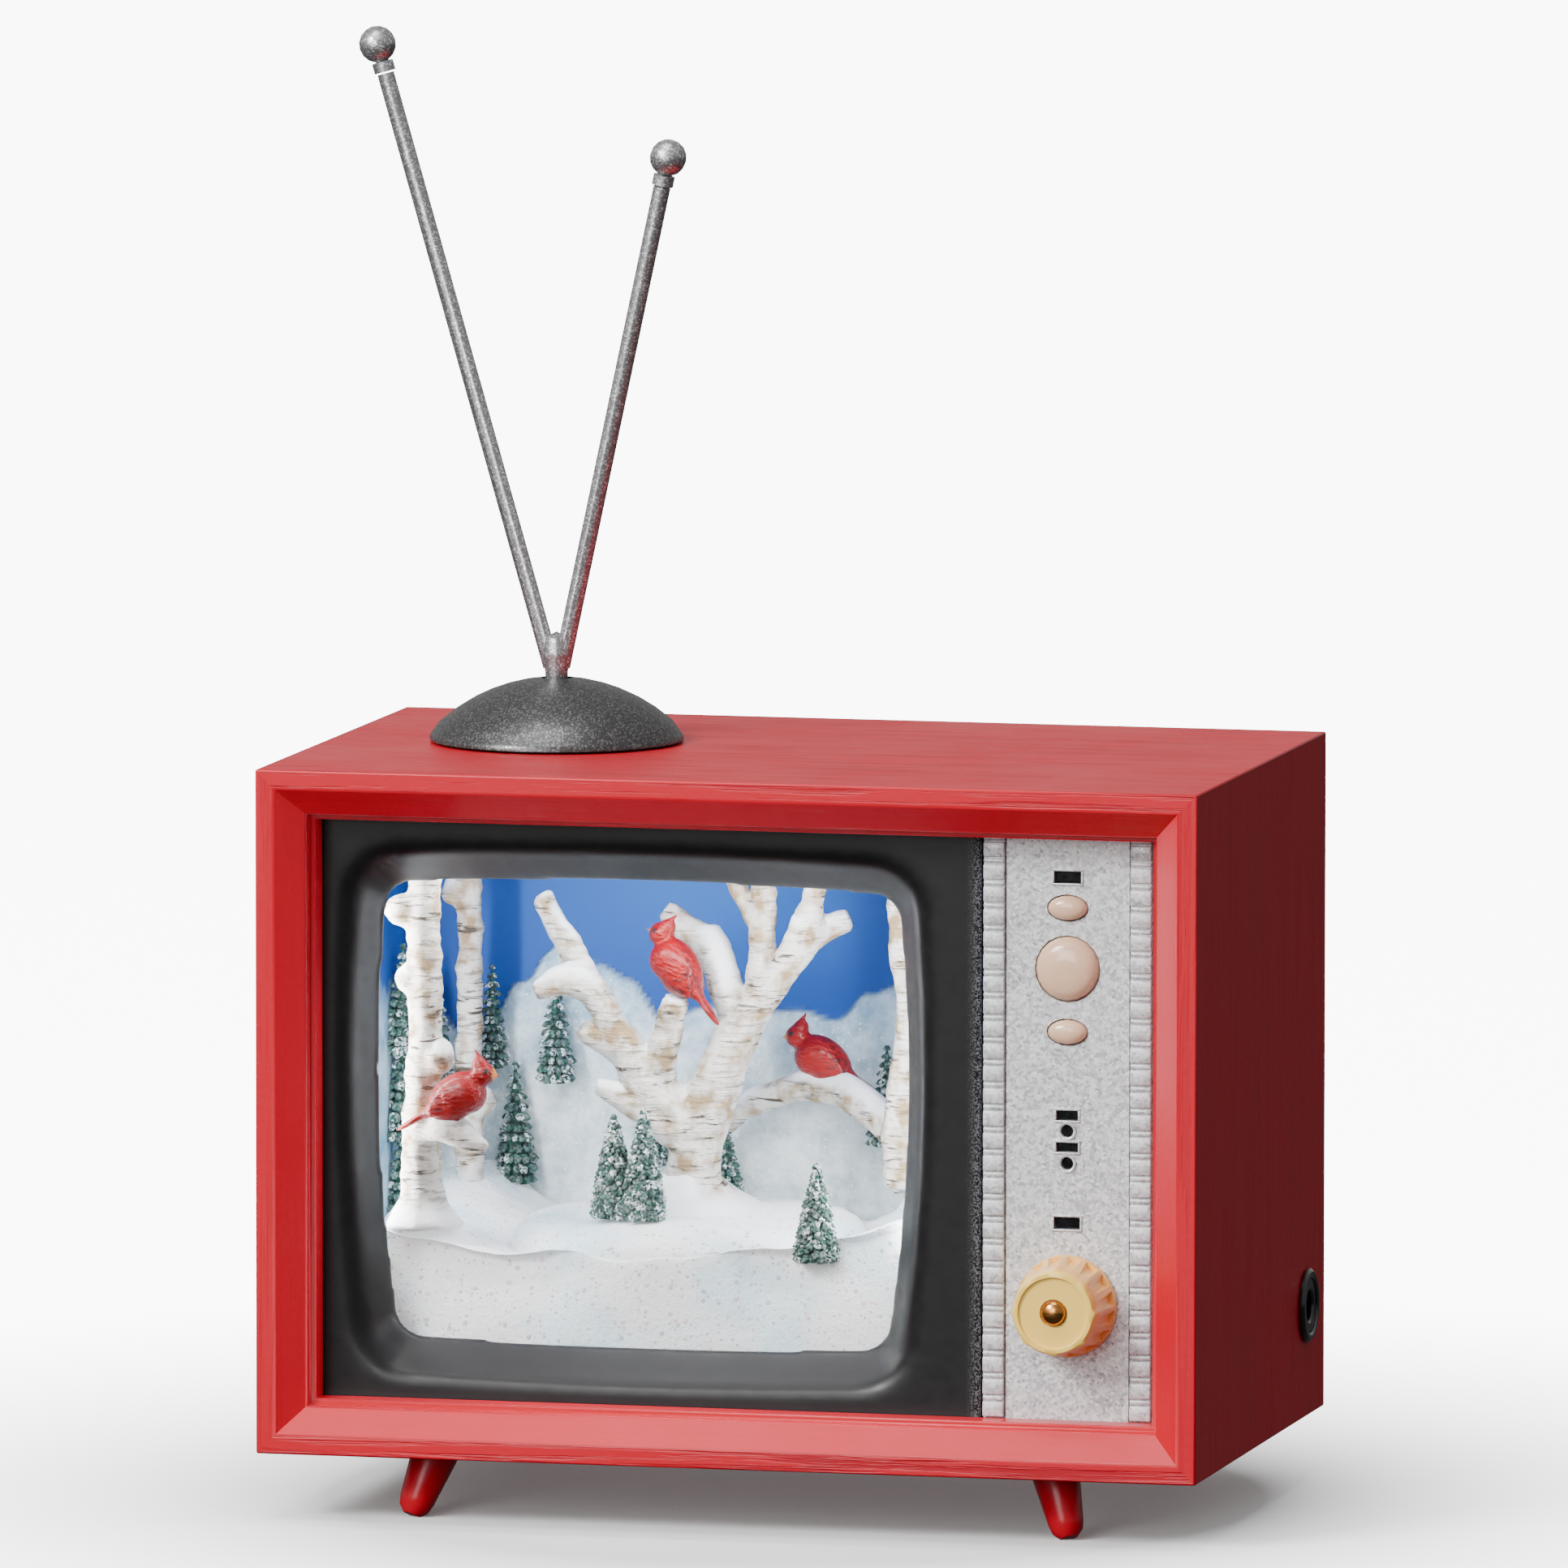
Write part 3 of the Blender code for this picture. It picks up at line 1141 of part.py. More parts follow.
# ---------------------------------------------------------------- drive
def gear_outline(teeth, module=GEAR_MODULE):
    """Spur gear outline: straight-flanked teeth with clearance at tip and root."""
    pitch = module * teeth / 2
    tip = pitch + module * 0.90
    root = pitch - module * 1.20
    step = 2 * math.pi / teeth
    outline = []
    for tooth in range(teeth):
        middle = tooth * step
        for radius, share in ((root, -0.36), (tip, -0.11), (tip, 0.11), (root, 0.36)):
            angle = middle + share * step
            outline.append((radius * math.cos(angle), radius * math.sin(angle)))
    return outline


def build_drive():
    """Gear motor under the deck; its pinion turns the large gear that carries the disc."""
    plate = cylinder(DISC_RADIUS - DISC_CLEARANCE, DECK_Z, DECK_TOP, 32)
    deck = add_part("mechanism_deck", plate, "white_plastic", (*AXIS, 0))
    floor = TUB_BOTTOM + TUB_WALL + FIT
    for degrees in DECK_POSTS:
        a = math.radians(degrees)
        x, y = DECK_POST_CIRCLE * math.cos(a), DECK_POST_CIRCLE * math.sin(a)
        post = cylinder(POST_RADIUS, floor, DECK_Z + DECK_SHEET / 2, 12)
        join(deck, add_tool(post, (AXIS[0] + x, AXIS[1] + y, 0)))
    cut(deck, add_tool(cylinder(BUSH_RADIUS + FIT, 0, CABINET_HEIGHT, 20), (*AXIS, 0)))
    pinion_at = (AXIS[0] + GEAR_CENTRES, AXIS[1], 0)
    cut(deck, add_tool(cylinder(PINION_SHAFT + 3 * FIT, 0, CABINET_HEIGHT, 16), pinion_at))

    bush_low = DECK_Z - 0.0055
    bush_top = DECK_TOP + FIT + BUSH_FLANGE
    bore = GEAR_SHAFT_RADIUS + SHAFT_PLAY
    bush = [
        (BUSH_RADIUS + 0.0015, bush_top),
        (BUSH_RADIUS + 0.0015, DECK_TOP + FIT),
        (BUSH_RADIUS, DECK_TOP + FIT),
        (BUSH_RADIUS, bush_low),
        (bore, bush_low),
        (bore, bush_top),
    ]
    turned("disc_bush", bush, "brass", (*AXIS, 0), UPRIGHT, 24, closed=True)

    wheel = prism(gear_outline(GEAR_TEETH), "Z", GEAR_Z, GEAR_Z + GEAR_FACE)
    gear = add_part("turntable_gear", wheel, "white_plastic", (*AXIS, 0))
    shaft = cylinder(GEAR_SHAFT_RADIUS, bush_low - 0.0010, GEAR_Z + GEAR_FACE / 2, 24)
    hub = cylinder(SOCKET_RADIUS - FIT, GEAR_Z + GEAR_FACE / 2, DISC_BASE_Z + SOCKET_DEPTH - FIT, 24)
    join(gear, add_tool(shaft, (*AXIS, 0)), add_tool(hub, (*AXIS, 0)))

    half_tooth = math.pi / PINION_TEETH
    turn = (0, 0, half_tooth)
    small_wheel = prism(gear_outline(PINION_TEETH), "Z", GEAR_Z, GEAR_Z + GEAR_FACE)
    pinion = add_part("motor_pinion", small_wheel, "white_plastic", pinion_at, turn)
    motor_top = DECK_Z - FIT
    motor_low = TUB_BOTTOM + TUB_WALL + FIT
    pin = cylinder(PINION_SHAFT, motor_low + 0.0030, GEAR_Z + GEAR_FACE / 2, 16)
    join(pinion, add_tool(pin, pinion_at))

    x, y, _ = pinion_at
    low = (x - MOTOR_SIZE[0] / 2, y - MOTOR_SIZE[1] / 2, motor_low)
    high = (x + MOTOR_SIZE[0] / 2, y + MOTOR_SIZE[1] / 2, motor_top)
    motor = add_part("gear_motor", box(low, high), "steel")
    can = cylinder(MOTOR_CAN_RADIUS, 0, MOTOR_CAN_LENGTH, 20)
    can_z = (motor_low + motor_top) / 2
    join(motor, add_tool(can, (x, high[1] - 0.001, can_z), FACING_BACK))
    bore = cylinder(PINION_SHAFT + SHAFT_PLAY, motor_low + 0.0028, CABINET_HEIGHT, 16)
    cut(motor, add_tool(bore, pinion_at))


# ---------------------------------------------------------------- back, power, sound, light
def door_hinge():
    """Middle of the battery door's hinge axis."""
    return (
        (BOX_LEFT + BOX_RIGHT) / 2,
        BACK_FACE - HINGE_RADIUS,
        BOX_BOTTOM + BOX_WALL + DOOR_PLAY + HINGE_RADIUS,
    )


def build_back_cover():
    """Recessed back with vents, speaker grille, door opening and its four screws' heads."""
    edge = INNER_X - FIT
    low, high = INNER_BOTTOM + FIT, INNER_TOP - FIT
    cover = add_part("back_cover", box((-edge, BACK_FRONT, low), (edge, BACK_FACE, high)), "black_plastic")
    for x in (-(INNER_X - COVER_BLOCK / 2), INNER_X - COVER_BLOCK / 2):
        for z in COVER_SCREW_Z:
            head = cylinder(0.0027, BACK_FACE - 0.0003, BACK_FACE + 0.0009, 12, 0.0018)
            join(cover, add_tool(head, (x, 0, z), FACING_BACK))
    opening = box(
        (BOX_LEFT + BOX_WALL, 0, BOX_BOTTOM + BOX_WALL),
        (BOX_RIGHT - BOX_WALL, CABINET_DEPTH, BOX_BOTTOM + BOX_HEIGHT - BOX_WALL),
    )
    cut(cover, add_tool(opening))
    reach = BOX_WIDTH / 2 - BOX_WALL + HINGE_PIN_LENGTH + FIT
    hinge_bore = cylinder(HINGE_PIN_RADIUS + SHAFT_PLAY, -reach, reach, 16)
    cut(cover, add_tool(hinge_bore, door_hinge(), FACING_RIGHT))
    for i in range(GRILLE_SLOTS):
        offset = (i - (GRILLE_SLOTS - 1) / 2) * GRILLE_PITCH
        half = math.sqrt((SPEAKER_RADIUS - 0.0030) ** 2 - offset**2)
        x, z = SPEAKER_AT[0], SPEAKER_AT[1] + offset
        low_corner = (x - half, 0, z - GRILLE_SLOT / 2)
        cut(cover, add_tool(box(low_corner, (x + half, CABINET_DEPTH, z + GRILLE_SLOT / 2))))
    for i in range(VENT_SLOTS):
        x = (i - (VENT_SLOTS - 1) / 2) * VENT_PITCH
        low_corner = (x - GRILLE_SLOT / 2, 0, VENT_Z)
        cut(cover, add_tool(box(low_corner, (x + GRILLE_SLOT / 2, CABINET_DEPTH, VENT_Z + VENT_HEIGHT))))


def build_battery_door():
    """Door that turns out on its lower edge; a flexing tongue holds it at the top."""
    width = BOX_WIDTH - 2 * BOX_WALL - 2 * DOOR_PLAY
    height = BOX_HEIGHT - 2 * BOX_WALL - 2 * DOOR_PLAY
    at = door_hinge()
    top = height - HINGE_RADIUS
    face = HINGE_RADIUS
    leaf = box((-width / 2, face - BACK_SHEET * 0.8, 0.0), (width / 2, face, top))
    door = add_part("battery_door", leaf, "black_plastic", at)
    join(door, add_tool(cylinder(HINGE_RADIUS, -width / 2, width / 2, 16), at, FACING_RIGHT))
    reach = width / 2 + DOOR_PLAY + HINGE_PIN_LENGTH
    join(door, add_tool(cylinder(HINGE_PIN_RADIUS, -reach, reach, 16), at, FACING_RIGHT))
    wide, rise, tall = DOOR_GRIP
    grip = box((-wide / 2, face - BACK_SHEET / 4, top - 4 * tall), (wide / 2, face + rise, top - 3 * tall))
    join(door, add_tool(grip, at))


def build_battery_box():
    """Box for the cells, open to the back, with one lane per cell."""
    low = (BOX_LEFT, BOX_FRONT, BOX_BOTTOM)
    high = (BOX_RIGHT, BOX_BACK, BOX_BOTTOM + BOX_HEIGHT)
    holder = add_part("battery_box", box(low, high), "black_plastic")
    inner_low = (BOX_LEFT + BOX_WALL, BOX_FRONT + BOX_WALL, BOX_BOTTOM + BOX_WALL)
    inner_high = (BOX_RIGHT - BOX_WALL, 2 * BOX_BACK, BOX_BOTTOM + BOX_HEIGHT - BOX_WALL)
    cut(holder, add_tool(box(inner_low, inner_high)))
    cell_y = BOX_FRONT + BOX_WALL + FIT / 2 + CELL_RADIUS
    cell_low = BOX_BOTTOM + BOX_WALL + CONTACT_SPACE
    places = []
    for i in range(CELL_COUNT):
        x = BOX_LEFT + BOX_WALL + FIT + CELL_RADIUS + i * CELL_PITCH
        plus_up = i % 2 == 0
        nub = 0.0010
        profile = [
            (0, CELL_LENGTH / 2),
            (0.0026, CELL_LENGTH / 2),
            (0.0026, CELL_LENGTH / 2 - nub),
            (CELL_RADIUS - 0.0006, CELL_LENGTH / 2 - nub),
            (CELL_RADIUS, CELL_LENGTH / 2 - nub - 0.0006),
            (CELL_RADIUS, -CELL_LENGTH / 2 + 0.0004),
            (CELL_RADIUS - 0.0004, -CELL_LENGTH / 2),
            (0, -CELL_LENGTH / 2),
        ]
        turn = UPRIGHT if plus_up else (math.radians(180), 0, 0)
        middle = (x, cell_y, cell_low + CELL_LENGTH / 2)
        turned(f"battery_cell_{i + 1}", profile, "cell_label", middle, turn, 20)
        places.append((x, plus_up))
    build_contacts(places, cell_y, cell_low)


def spring_mesh(x, y, start, end):
    """Conical contact spring, wide where it meets its plate."""
    turns = 3
    count = turns * SPRING_STEPS
    points = []
    for i in range(count + 1):
        share = i / count
        radius = 0.0032 - 0.0012 * share
        angle = 2 * math.pi * turns * share
        z = start + (end - start) * share
        points.append((x + radius * math.cos(angle), y + radius * math.sin(angle), z))
    return bar_mesh(points, [SPRING_WIRE] * len(points), 1)


def build_contacts(places, y, cell_low):
    """Contact plates at both ends; a spring presses on every minus end."""
    cell_high = cell_low + CELL_LENGTH
    half = CELL_RADIUS - 0.0012
    plate = 0.0004
    groups = {
        "contact_top_a": ("top", places[0:2]),
        "contact_top_b": ("top", places[2:3]),
        "contact_bottom_a": ("bottom", places[0:1]),
        "contact_bottom_b": ("bottom", places[1:3]),
    }
    for name, (end, cells) in groups.items():
        top = end == "top"
        wall = cell_high + CONTACT_SPACE - FIT if top else cell_low - CONTACT_SPACE + FIT
        inward = -1 if top else 1
        face = wall + inward * plate
        low = (cells[0][0] - half, y - half, min(wall, face))
        high = (cells[-1][0] + half, y + half, max(wall, face))
        contact = add_part(name, box(low, high), "steel")
        for x, plus_up in cells:
            limit = cell_high + FIT if top else cell_low - FIT
            if plus_up != top:
                spring = spring_mesh(x, y, face - inward * SPRING_WIRE / 2, limit - inward * SPRING_WIRE)
                join(contact, add_tool(spring))
            else:
                pad_low, pad_high = sorted((face - inward * plate / 2, limit))
                pad = CONTACT_PAD / 2
                nub = box((x - pad, y - pad, pad_low), (x + pad, y + pad, pad_high))
                join(contact, add_tool(nub))


def build_sound_and_light():
    """Speaker on the back cover, light board over the scene, control board beside it."""
    x, z = SPEAKER_AT
    back = BACK_FRONT - FIT
    at = (x, back, z)
    magnet = SPEAKER_RADIUS * 0.45
    rim = SPEAKER_RADIUS
    basket = [
        (0, -0.0062),
        (magnet * 0.95, -0.0062),
        (rim * 0.84, -0.0012),
        (rim * 0.88, 0),
        (rim, 0),
        (rim, -0.0012),
        (rim * 0.94, -0.0014),
        (rim * 0.58, -0.0058),
        (magnet * 1.1, -0.0064),
        (magnet * 1.1, -SPEAKER_DEPTH),
        (0, -SPEAKER_DEPTH),
    ]
    turned("speaker_basket", basket, "steel", at, FACING_BACK, 28)
    cone = [
        (0, -0.0022),
        (magnet * 0.5, -0.0028),
        (magnet * 0.62, -0.0042),
        (rim * 0.72, -0.0012),
        (rim * 0.80, -0.0003),
        (rim * 0.76, -0.0005 - 2 * FIT),
        (magnet * 0.70, -0.0052),
        (0, -0.0054),
    ]
    turned("speaker_cone", cone, "paper", at, FACING_BACK, 28)

    light_z = TUB_TOP - TUB_WALL - FIT
    low = (LIGHT_X[0], TUB_FRONT + 0.0020, light_z - BOARD_SHEET)
    high = (LIGHT_X[1], TUB_FRONT + 0.0120, light_z)
    lights = add_part("led_board", box(low, high), "circuit")
    for i in range(LIGHT_COUNT):
        lx = LIGHT_X[0] + (i + 0.5) * (LIGHT_X[1] - LIGHT_X[0]) / LIGHT_COUNT
        lamp = cylinder(0.0015, low[2] - 0.0018, low[2] + 0.0004, 10)
        join(lights, add_tool(lamp, (lx, (low[1] + high[1]) / 2, 0)))

    face = TUB_RIGHT + MAIN_BOARD_GAP
    near, far = MAIN_BOARD_Y
    low, high = MAIN_BOARD_Z
    sheet = box((face, near, low), (face + BOARD_SHEET, far, high))
    main = add_part("main_board", sheet, "circuit")
    for y, z, long, wide, tall in MAIN_BOARD_PIECES:
        corner = (face + BOARD_SHEET / 2, near + y, low + z)
        join(main, add_tool(box(corner, (face + BOARD_SHEET + tall, near + y + long, low + z + wide))))
    for y in (near + POST_INSET, far - POST_INSET):
        for z in (low + POST_INSET, high - POST_INSET):
            post = cylinder(POST_RADIUS, TUB_RIGHT + FIT, face + BOARD_SHEET / 2, 10)
            join(main, add_tool(post, (0, y, z), FACING_RIGHT))


def build_jack():
    """Socket: flanged nut outside the board, barrel with a bore and centre pin inside."""
    at = (HALF_WIDTH, JACK_Y, JACK_Z)
    inner = JACK_BARREL_RADIUS + SHAFT_PLAY * 2
    nut = [
        (JACK_FLANGE_RADIUS - 0.0006, JACK_PROUD),
        (JACK_FLANGE_RADIUS, JACK_PROUD - 0.0005),
        (JACK_FLANGE_RADIUS, FIT),
        (inner, FIT),
        (inner, JACK_PROUD - 0.0003),
        (inner + 0.0004, JACK_PROUD),
    ]
    turned("dc_jack_nut", nut, "black_gloss", at, FACING_RIGHT, 28, closed=True)
    floor = -0.0095
    end = -0.0125
    barrel_profile = [
        (0, -0.0010),
        (0.0007, -0.0010),
        (0.0010, -0.0014),
        (0.0010, floor),
        (JACK_BORE_RADIUS, floor),
        (JACK_BORE_RADIUS, JACK_PROUD - 0.0008),
        (JACK_BORE_RADIUS + 0.0004, JACK_PROUD - 0.0004),
        (JACK_BARREL_RADIUS, JACK_PROUD - 0.0004),
        (JACK_BARREL_RADIUS, -BOARD - FIT),
        (JACK_BARREL_RADIUS + 0.0012, -BOARD - FIT),
        (JACK_BARREL_RADIUS + 0.0012, end),
        (0, end),
    ]
    turned("dc_jack_body", barrel_profile, "black_plastic", at, FACING_RIGHT, 24)


# ---------------------------------------------------------------- antenna and legs
def cap_arc(top_radius, seam_radius, seam_z, height, count):
    """Points down a spherical cap from a radius near its top to its seam."""
    rise = height - seam_z
    sphere = (seam_radius**2 + rise**2) / (2 * rise)
    points = []
    for i in range(count + 1):
        r = top_radius + (seam_radius - top_radius) * i / count
        points.append((r, height - sphere + math.sqrt(sphere**2 - r**2)))
    return points


def build_antenna():
    """Hollow dome with a guide tube, and the forked mast that turns in it."""
    at = (*ANTENNA_AT, CABINET_HEIGHT + FIT)
    guide = PEG_RADIUS + SHAFT_PLAY
    outer = cap_arc(DOME_HOLE_RADIUS, DOME_SEAM_RADIUS, DOME_SEAM, DOME_HEIGHT, 6)
    tube = DOME_HOLE_RADIUS + 0.0015
    inner_seam = DOME_SEAM_RADIUS - DOME_SHEET
    inside = cap_arc(tube, inner_seam, DOME_SEAM - 0.0006, DOME_HEIGHT - DOME_SHEET, 3)
    profile = outer + [
        (DOME_SEAM_RADIUS + 0.0003, DOME_SEAM - 0.0004),
        (DOME_RADIUS - 0.0004, 0.0012),
        (DOME_RADIUS, 0.0006),
        (DOME_RADIUS, 0),
        (DOME_RADIUS - DOME_SHEET, 0),
        *reversed(inside),
        (tube, 0.0006),
        (guide, 0.0006),
        (guide, DOME_HEIGHT - 0.0028),
        (DOME_HOLE_RADIUS, DOME_HEIGHT - 0.0012),
    ]
    turned("antenna_dome", profile, "antenna_silver", at, UPRIGHT, 32, closed=True)

    fork = FORK_HEIGHT
    mast_profile = [
        (0, fork + 0.0008),
        (NECK_RADIUS * 0.8, fork - 0.0004),
        (NECK_RADIUS, fork - 0.0030),
        (NECK_RADIUS, DOME_HEIGHT + 0.0040),
        (PEG_RADIUS, DOME_HEIGHT + 0.0010),
        (PEG_RADIUS, 0.0008),
        (0, 0.0008),
    ]
    mast = turned("antenna_mast", mast_profile, "antenna_silver", at, UPRIGHT, 20)
    for name, (bx, bz), lean_start in (
        ("antenna_ball_left", LEFT_BALL, -1),
        ("antenna_ball_right", RIGHT_BALL, 1),
    ):
        root = Vector((lean_start * ROD_RADIUS * 0.6, 0, fork - 0.0060))
        ball = Vector((bx, 0, bz))
        lean = (ball - root).normalized()
        end = ball - lean * (BALL_RADIUS + COLLAR_LENGTH)
        rod = bar_mesh([root, end], [ROD_RADIUS, ROD_RADIUS], 4)
        join(mast, add_tool(rod, at))
        turn = lean.to_track_quat("Z", "Y").to_euler()
        place = Vector(at) + ball
        angles = [math.radians(160 * i / 7) for i in range(8)]
        shape = [(BALL_RADIUS * math.sin(a), BALL_RADIUS * math.cos(a)) for a in angles]
        collar_low = -(BALL_RADIUS + COLLAR_LENGTH - FIT)
        shape += [(COLLAR_RADIUS, -BALL_RADIUS * 0.97), (COLLAR_RADIUS, collar_low), (0, collar_low)]
        turned(name, shape, "antenna_silver", place, turn, 16)


def build_legs():
    """Tapered legs splayed outwards, cut level under the board and at the floor."""
    for side, across in (("left", -1), ("right", 1)):
        for end in ("front", "back"):
            x = across * LEG_AT[0]
            y = LEG_AT[1] if end == "front" else CABINET_DEPTH - LEG_AT[1]
            dx = across * LEG_LEAN[0]
            dy = LEG_LEAN[1] if end == "front" else -LEG_LEAN[1]
            axis = Vector((dx, dy, -LEG_HEIGHT)).normalized()
            length = Vector((dx, dy, LEG_HEIGHT)).length
            ball = LEG_TIP_RADIUS
            angles = [math.radians(90 - 90 * i / 3) for i in range(4)]
            loops = []
            sections = [(LEG_TOP_RADIUS + 0.0003, -0.0030), (LEG_TOP_RADIUS, 0.0010), (ball, length - ball)]
            sections += [(ball * math.sin(a), length - ball + ball * math.cos(a)) for a in angles[1:3]]
            for radius, along in sections:
                ring = [2 * math.pi * k / LEG_SIDES for k in range(LEG_SIDES)]
                loops.append([(radius * math.cos(t), radius * math.sin(t), along) for t in ring])
            mesh = loft(loops)
            mesh.transform(axis.to_track_quat("Z", "Y").to_matrix().to_4x4())
            mesh.transform(Matrix.Translation((x, y, 0)))
            bm = bmesh.new()
            bm.from_mesh(mesh)
            for level, clear_up in ((-FIT, True), (-LEG_HEIGHT, False)):
                geometry = bm.verts[:] + bm.edges[:] + bm.faces[:]
                sliced = bmesh.ops.bisect_plane(
                    bm,
                    geom=geometry,
                    plane_co=(0, 0, level),
                    plane_no=(0, 0, 1),
                    clear_outer=clear_up,
                    clear_inner=not clear_up,
                )
                rim = [item for item in sliced["geom_cut"] if isinstance(item, bmesh.types.BMEdge)]
                bmesh.ops.contextual_create(bm, geom=rim)
            add_part(f"leg_{end}_{side}", to_mesh(bm, "leg"), "red_moulding", smooth=True)


build_boards()
build_front_frame()
build_mask()
build_window()
build_panel()
build_trims()
build_indicator_insert()
build_buttons()
build_switch_board()
build_knob()
build_potentiometer()
build_tub()
build_backdrop()
build_snow_bank()
build_disc()
build_birch()
build_firs()
build_left_birch()
build_right_arch()
add_bird("left_cardinal", *LEFT_BIRD)
add_bird("right_cardinal", *RIGHT_BIRD)
add_bird("top_cardinal", *TOP_BIRD)
build_drive()
build_back_cover()
build_battery_door()
build_battery_box()
build_sound_and_light()
build_jack()
build_antenna()
build_legs()
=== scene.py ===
"""Finish of a small light-up television diorama: lacquer, paint, snow, birches, birds and studio.

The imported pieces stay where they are. Materials are put on them, and the pieces of the winter
scene are shown as finer castings. Sizes are in metres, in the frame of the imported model.
"""

import json
import math
import random

import bmesh
import bpy
from bpy.props import FloatProperty, FloatVectorProperty, IntProperty, PointerProperty
from mathutils import Matrix, Vector, noise


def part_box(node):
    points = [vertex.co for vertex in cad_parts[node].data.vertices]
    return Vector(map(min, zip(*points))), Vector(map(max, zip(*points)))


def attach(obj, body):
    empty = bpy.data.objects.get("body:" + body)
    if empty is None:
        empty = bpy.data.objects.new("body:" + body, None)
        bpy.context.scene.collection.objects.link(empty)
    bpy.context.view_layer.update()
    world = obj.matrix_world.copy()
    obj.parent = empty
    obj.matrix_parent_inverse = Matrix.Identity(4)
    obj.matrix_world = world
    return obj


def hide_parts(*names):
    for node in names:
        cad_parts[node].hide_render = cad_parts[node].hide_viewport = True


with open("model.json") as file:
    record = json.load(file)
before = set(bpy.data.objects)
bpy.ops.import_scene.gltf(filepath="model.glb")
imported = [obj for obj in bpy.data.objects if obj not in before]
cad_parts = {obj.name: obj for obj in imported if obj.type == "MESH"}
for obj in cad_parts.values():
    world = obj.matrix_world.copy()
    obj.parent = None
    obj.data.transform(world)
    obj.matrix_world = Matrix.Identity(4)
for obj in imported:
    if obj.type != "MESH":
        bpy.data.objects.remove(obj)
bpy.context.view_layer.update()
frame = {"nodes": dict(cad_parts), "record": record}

bl_info = {
    "name": "Television diorama finish",
    "version": (1, 0, 0),
    "blender": (4, 5, 0),
    "location": "View3D > Sidebar > Diorama",
    "description": "Paints the cabinet and fills its screen with a turning winter scene",
    "category": "Object",
}

NODES = frame["nodes"]

PANEL_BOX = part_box("control_panel")
MASK_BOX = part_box("screen_mask")
KNOB_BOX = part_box("volume_knob")
BACKDROP_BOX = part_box("scene_backdrop")
DISC_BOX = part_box("snow_disc")
BANK_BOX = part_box("snow_bank")
CASE_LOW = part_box("cabinet_left")[0]
CASE_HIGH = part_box("cabinet_right")[1]
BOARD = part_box("cabinet_top")[1].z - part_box("cabinet_top")[0].z
FRAME_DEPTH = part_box("front_frame")[1].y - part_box("front_frame")[0].y
BODY_OF = {node: body for body, nodes in frame["record"]["behaviour"]["bodies"].items() for node in nodes}
SLOT_OF = {row["node"]: row["material_slot"] for row in frame["record"]["subparts"]}

# crest of the painted hills: side place and height above the ground
HILL_CREST = (
    (-0.0913, 0.0973),
    (-0.0734, 0.0803),
    (-0.0653, 0.0933),
    (-0.0571, 0.1015),
    (-0.0498, 0.0969),
    (-0.0425, 0.0944),
    (-0.0363, 0.0865),
    (-0.0295, 0.0891),
    (-0.0181, 0.0891),
    (-0.0092, 0.0902),
    (-0.0029, 0.0872),
    (0.0045, 0.0925),
    (0.0102, 0.0942),
    (0.0350, 0.1040),
)
# relief firs at the back and on the left wall: place of the foot, height and radius
DISTANT_FIRS = (
    (-0.0694, 0.0345, 0.0770, 0.0205, 0.0036),
    (-0.0566, 0.0345, 0.0745, 0.0210, 0.0040),
    (-0.0647, 0.0345, 0.0545, 0.0240, 0.0044),
    (-0.0832, 0.0190, 0.0810, 0.0220, 0.0042),
    (-0.0832, 0.0195, 0.0640, 0.0240, 0.0046),
    (-0.0832, 0.0185, 0.0440, 0.0250, 0.0048),
    (-0.0800, 0.0320, 0.0740, 0.0230, 0.0036),
    (-0.0355, 0.0345, 0.0590, 0.0170, 0.0034),
    (-0.0225, 0.0345, 0.0520, 0.0160, 0.0036),
    (0.0095, 0.0345, 0.0640, 0.0200, 0.0040),
)
# crest of the snow in front of the turning disc: side place and height
SNOW_CREST = (
    (-0.0840, 0.0560),
    (-0.0670, 0.0515),
    (-0.0500, 0.0490),
    (-0.0377, 0.0502),
    (-0.0281, 0.0488),
    (-0.0169, 0.0500),
    (0.0022, 0.0515),
    (0.0162, 0.0545),
    (0.0350, 0.0600),
)
# far birch: side place, distance before the backdrop, radii, and knots as height and offset
FAR_BIRCH = (-0.0711, 0.0130)
FAR_BIRCH_RADII = (0.0029, 0.0024)
FAR_BIRCH_KNOTS = ((0.1125, -0.003), (0.0720, 0.0026))
KNOT_RADIUS = 0.0028
# slots and lamps beside the knob and buttons: height from the round button, width and height
SLOTS = (
    (0.0175, 0.0052, 0.0023),
    (-0.0280, 0.0042, 0.0019),
    (-0.0341, 0.0042, 0.0018),
    (-0.0486, 0.0050, 0.0023),
)
LAMPS = (-0.0310, -0.0372)
LAMP_RADIUS = 0.00125
RIM_WIDTH = 0.00045
# section of the rim round a lamp: steps outwards and steps back
LAMP_RIM = ((0.0, -0.0004), (0.00022, -0.00015), (0.00022, 0.0), (0.0001, 0.0004), (-0.00054, 0.0))
SOCKET_BORE = 0.0054
EDGE_ROUNDING = 0.00035
SMOOTH_ANGLE = 38.0
BLOCK_ANGLE = 50.0
MASK_FACET = 0.00075
BIRD_FACET = 0.016


# ---------------------------------------------------------------- settings
def length(name, description, default, **limits):
    """A length setting in metres."""
    return FloatProperty(
        name=name, description=description, default=default, unit="LENGTH", **limits
    )


def colour(name, description, value):
    """A colour setting."""
    return FloatVectorProperty(
        name=name, description=description, default=value, subtype="COLOR", size=3, min=0.0, max=1.0
    )


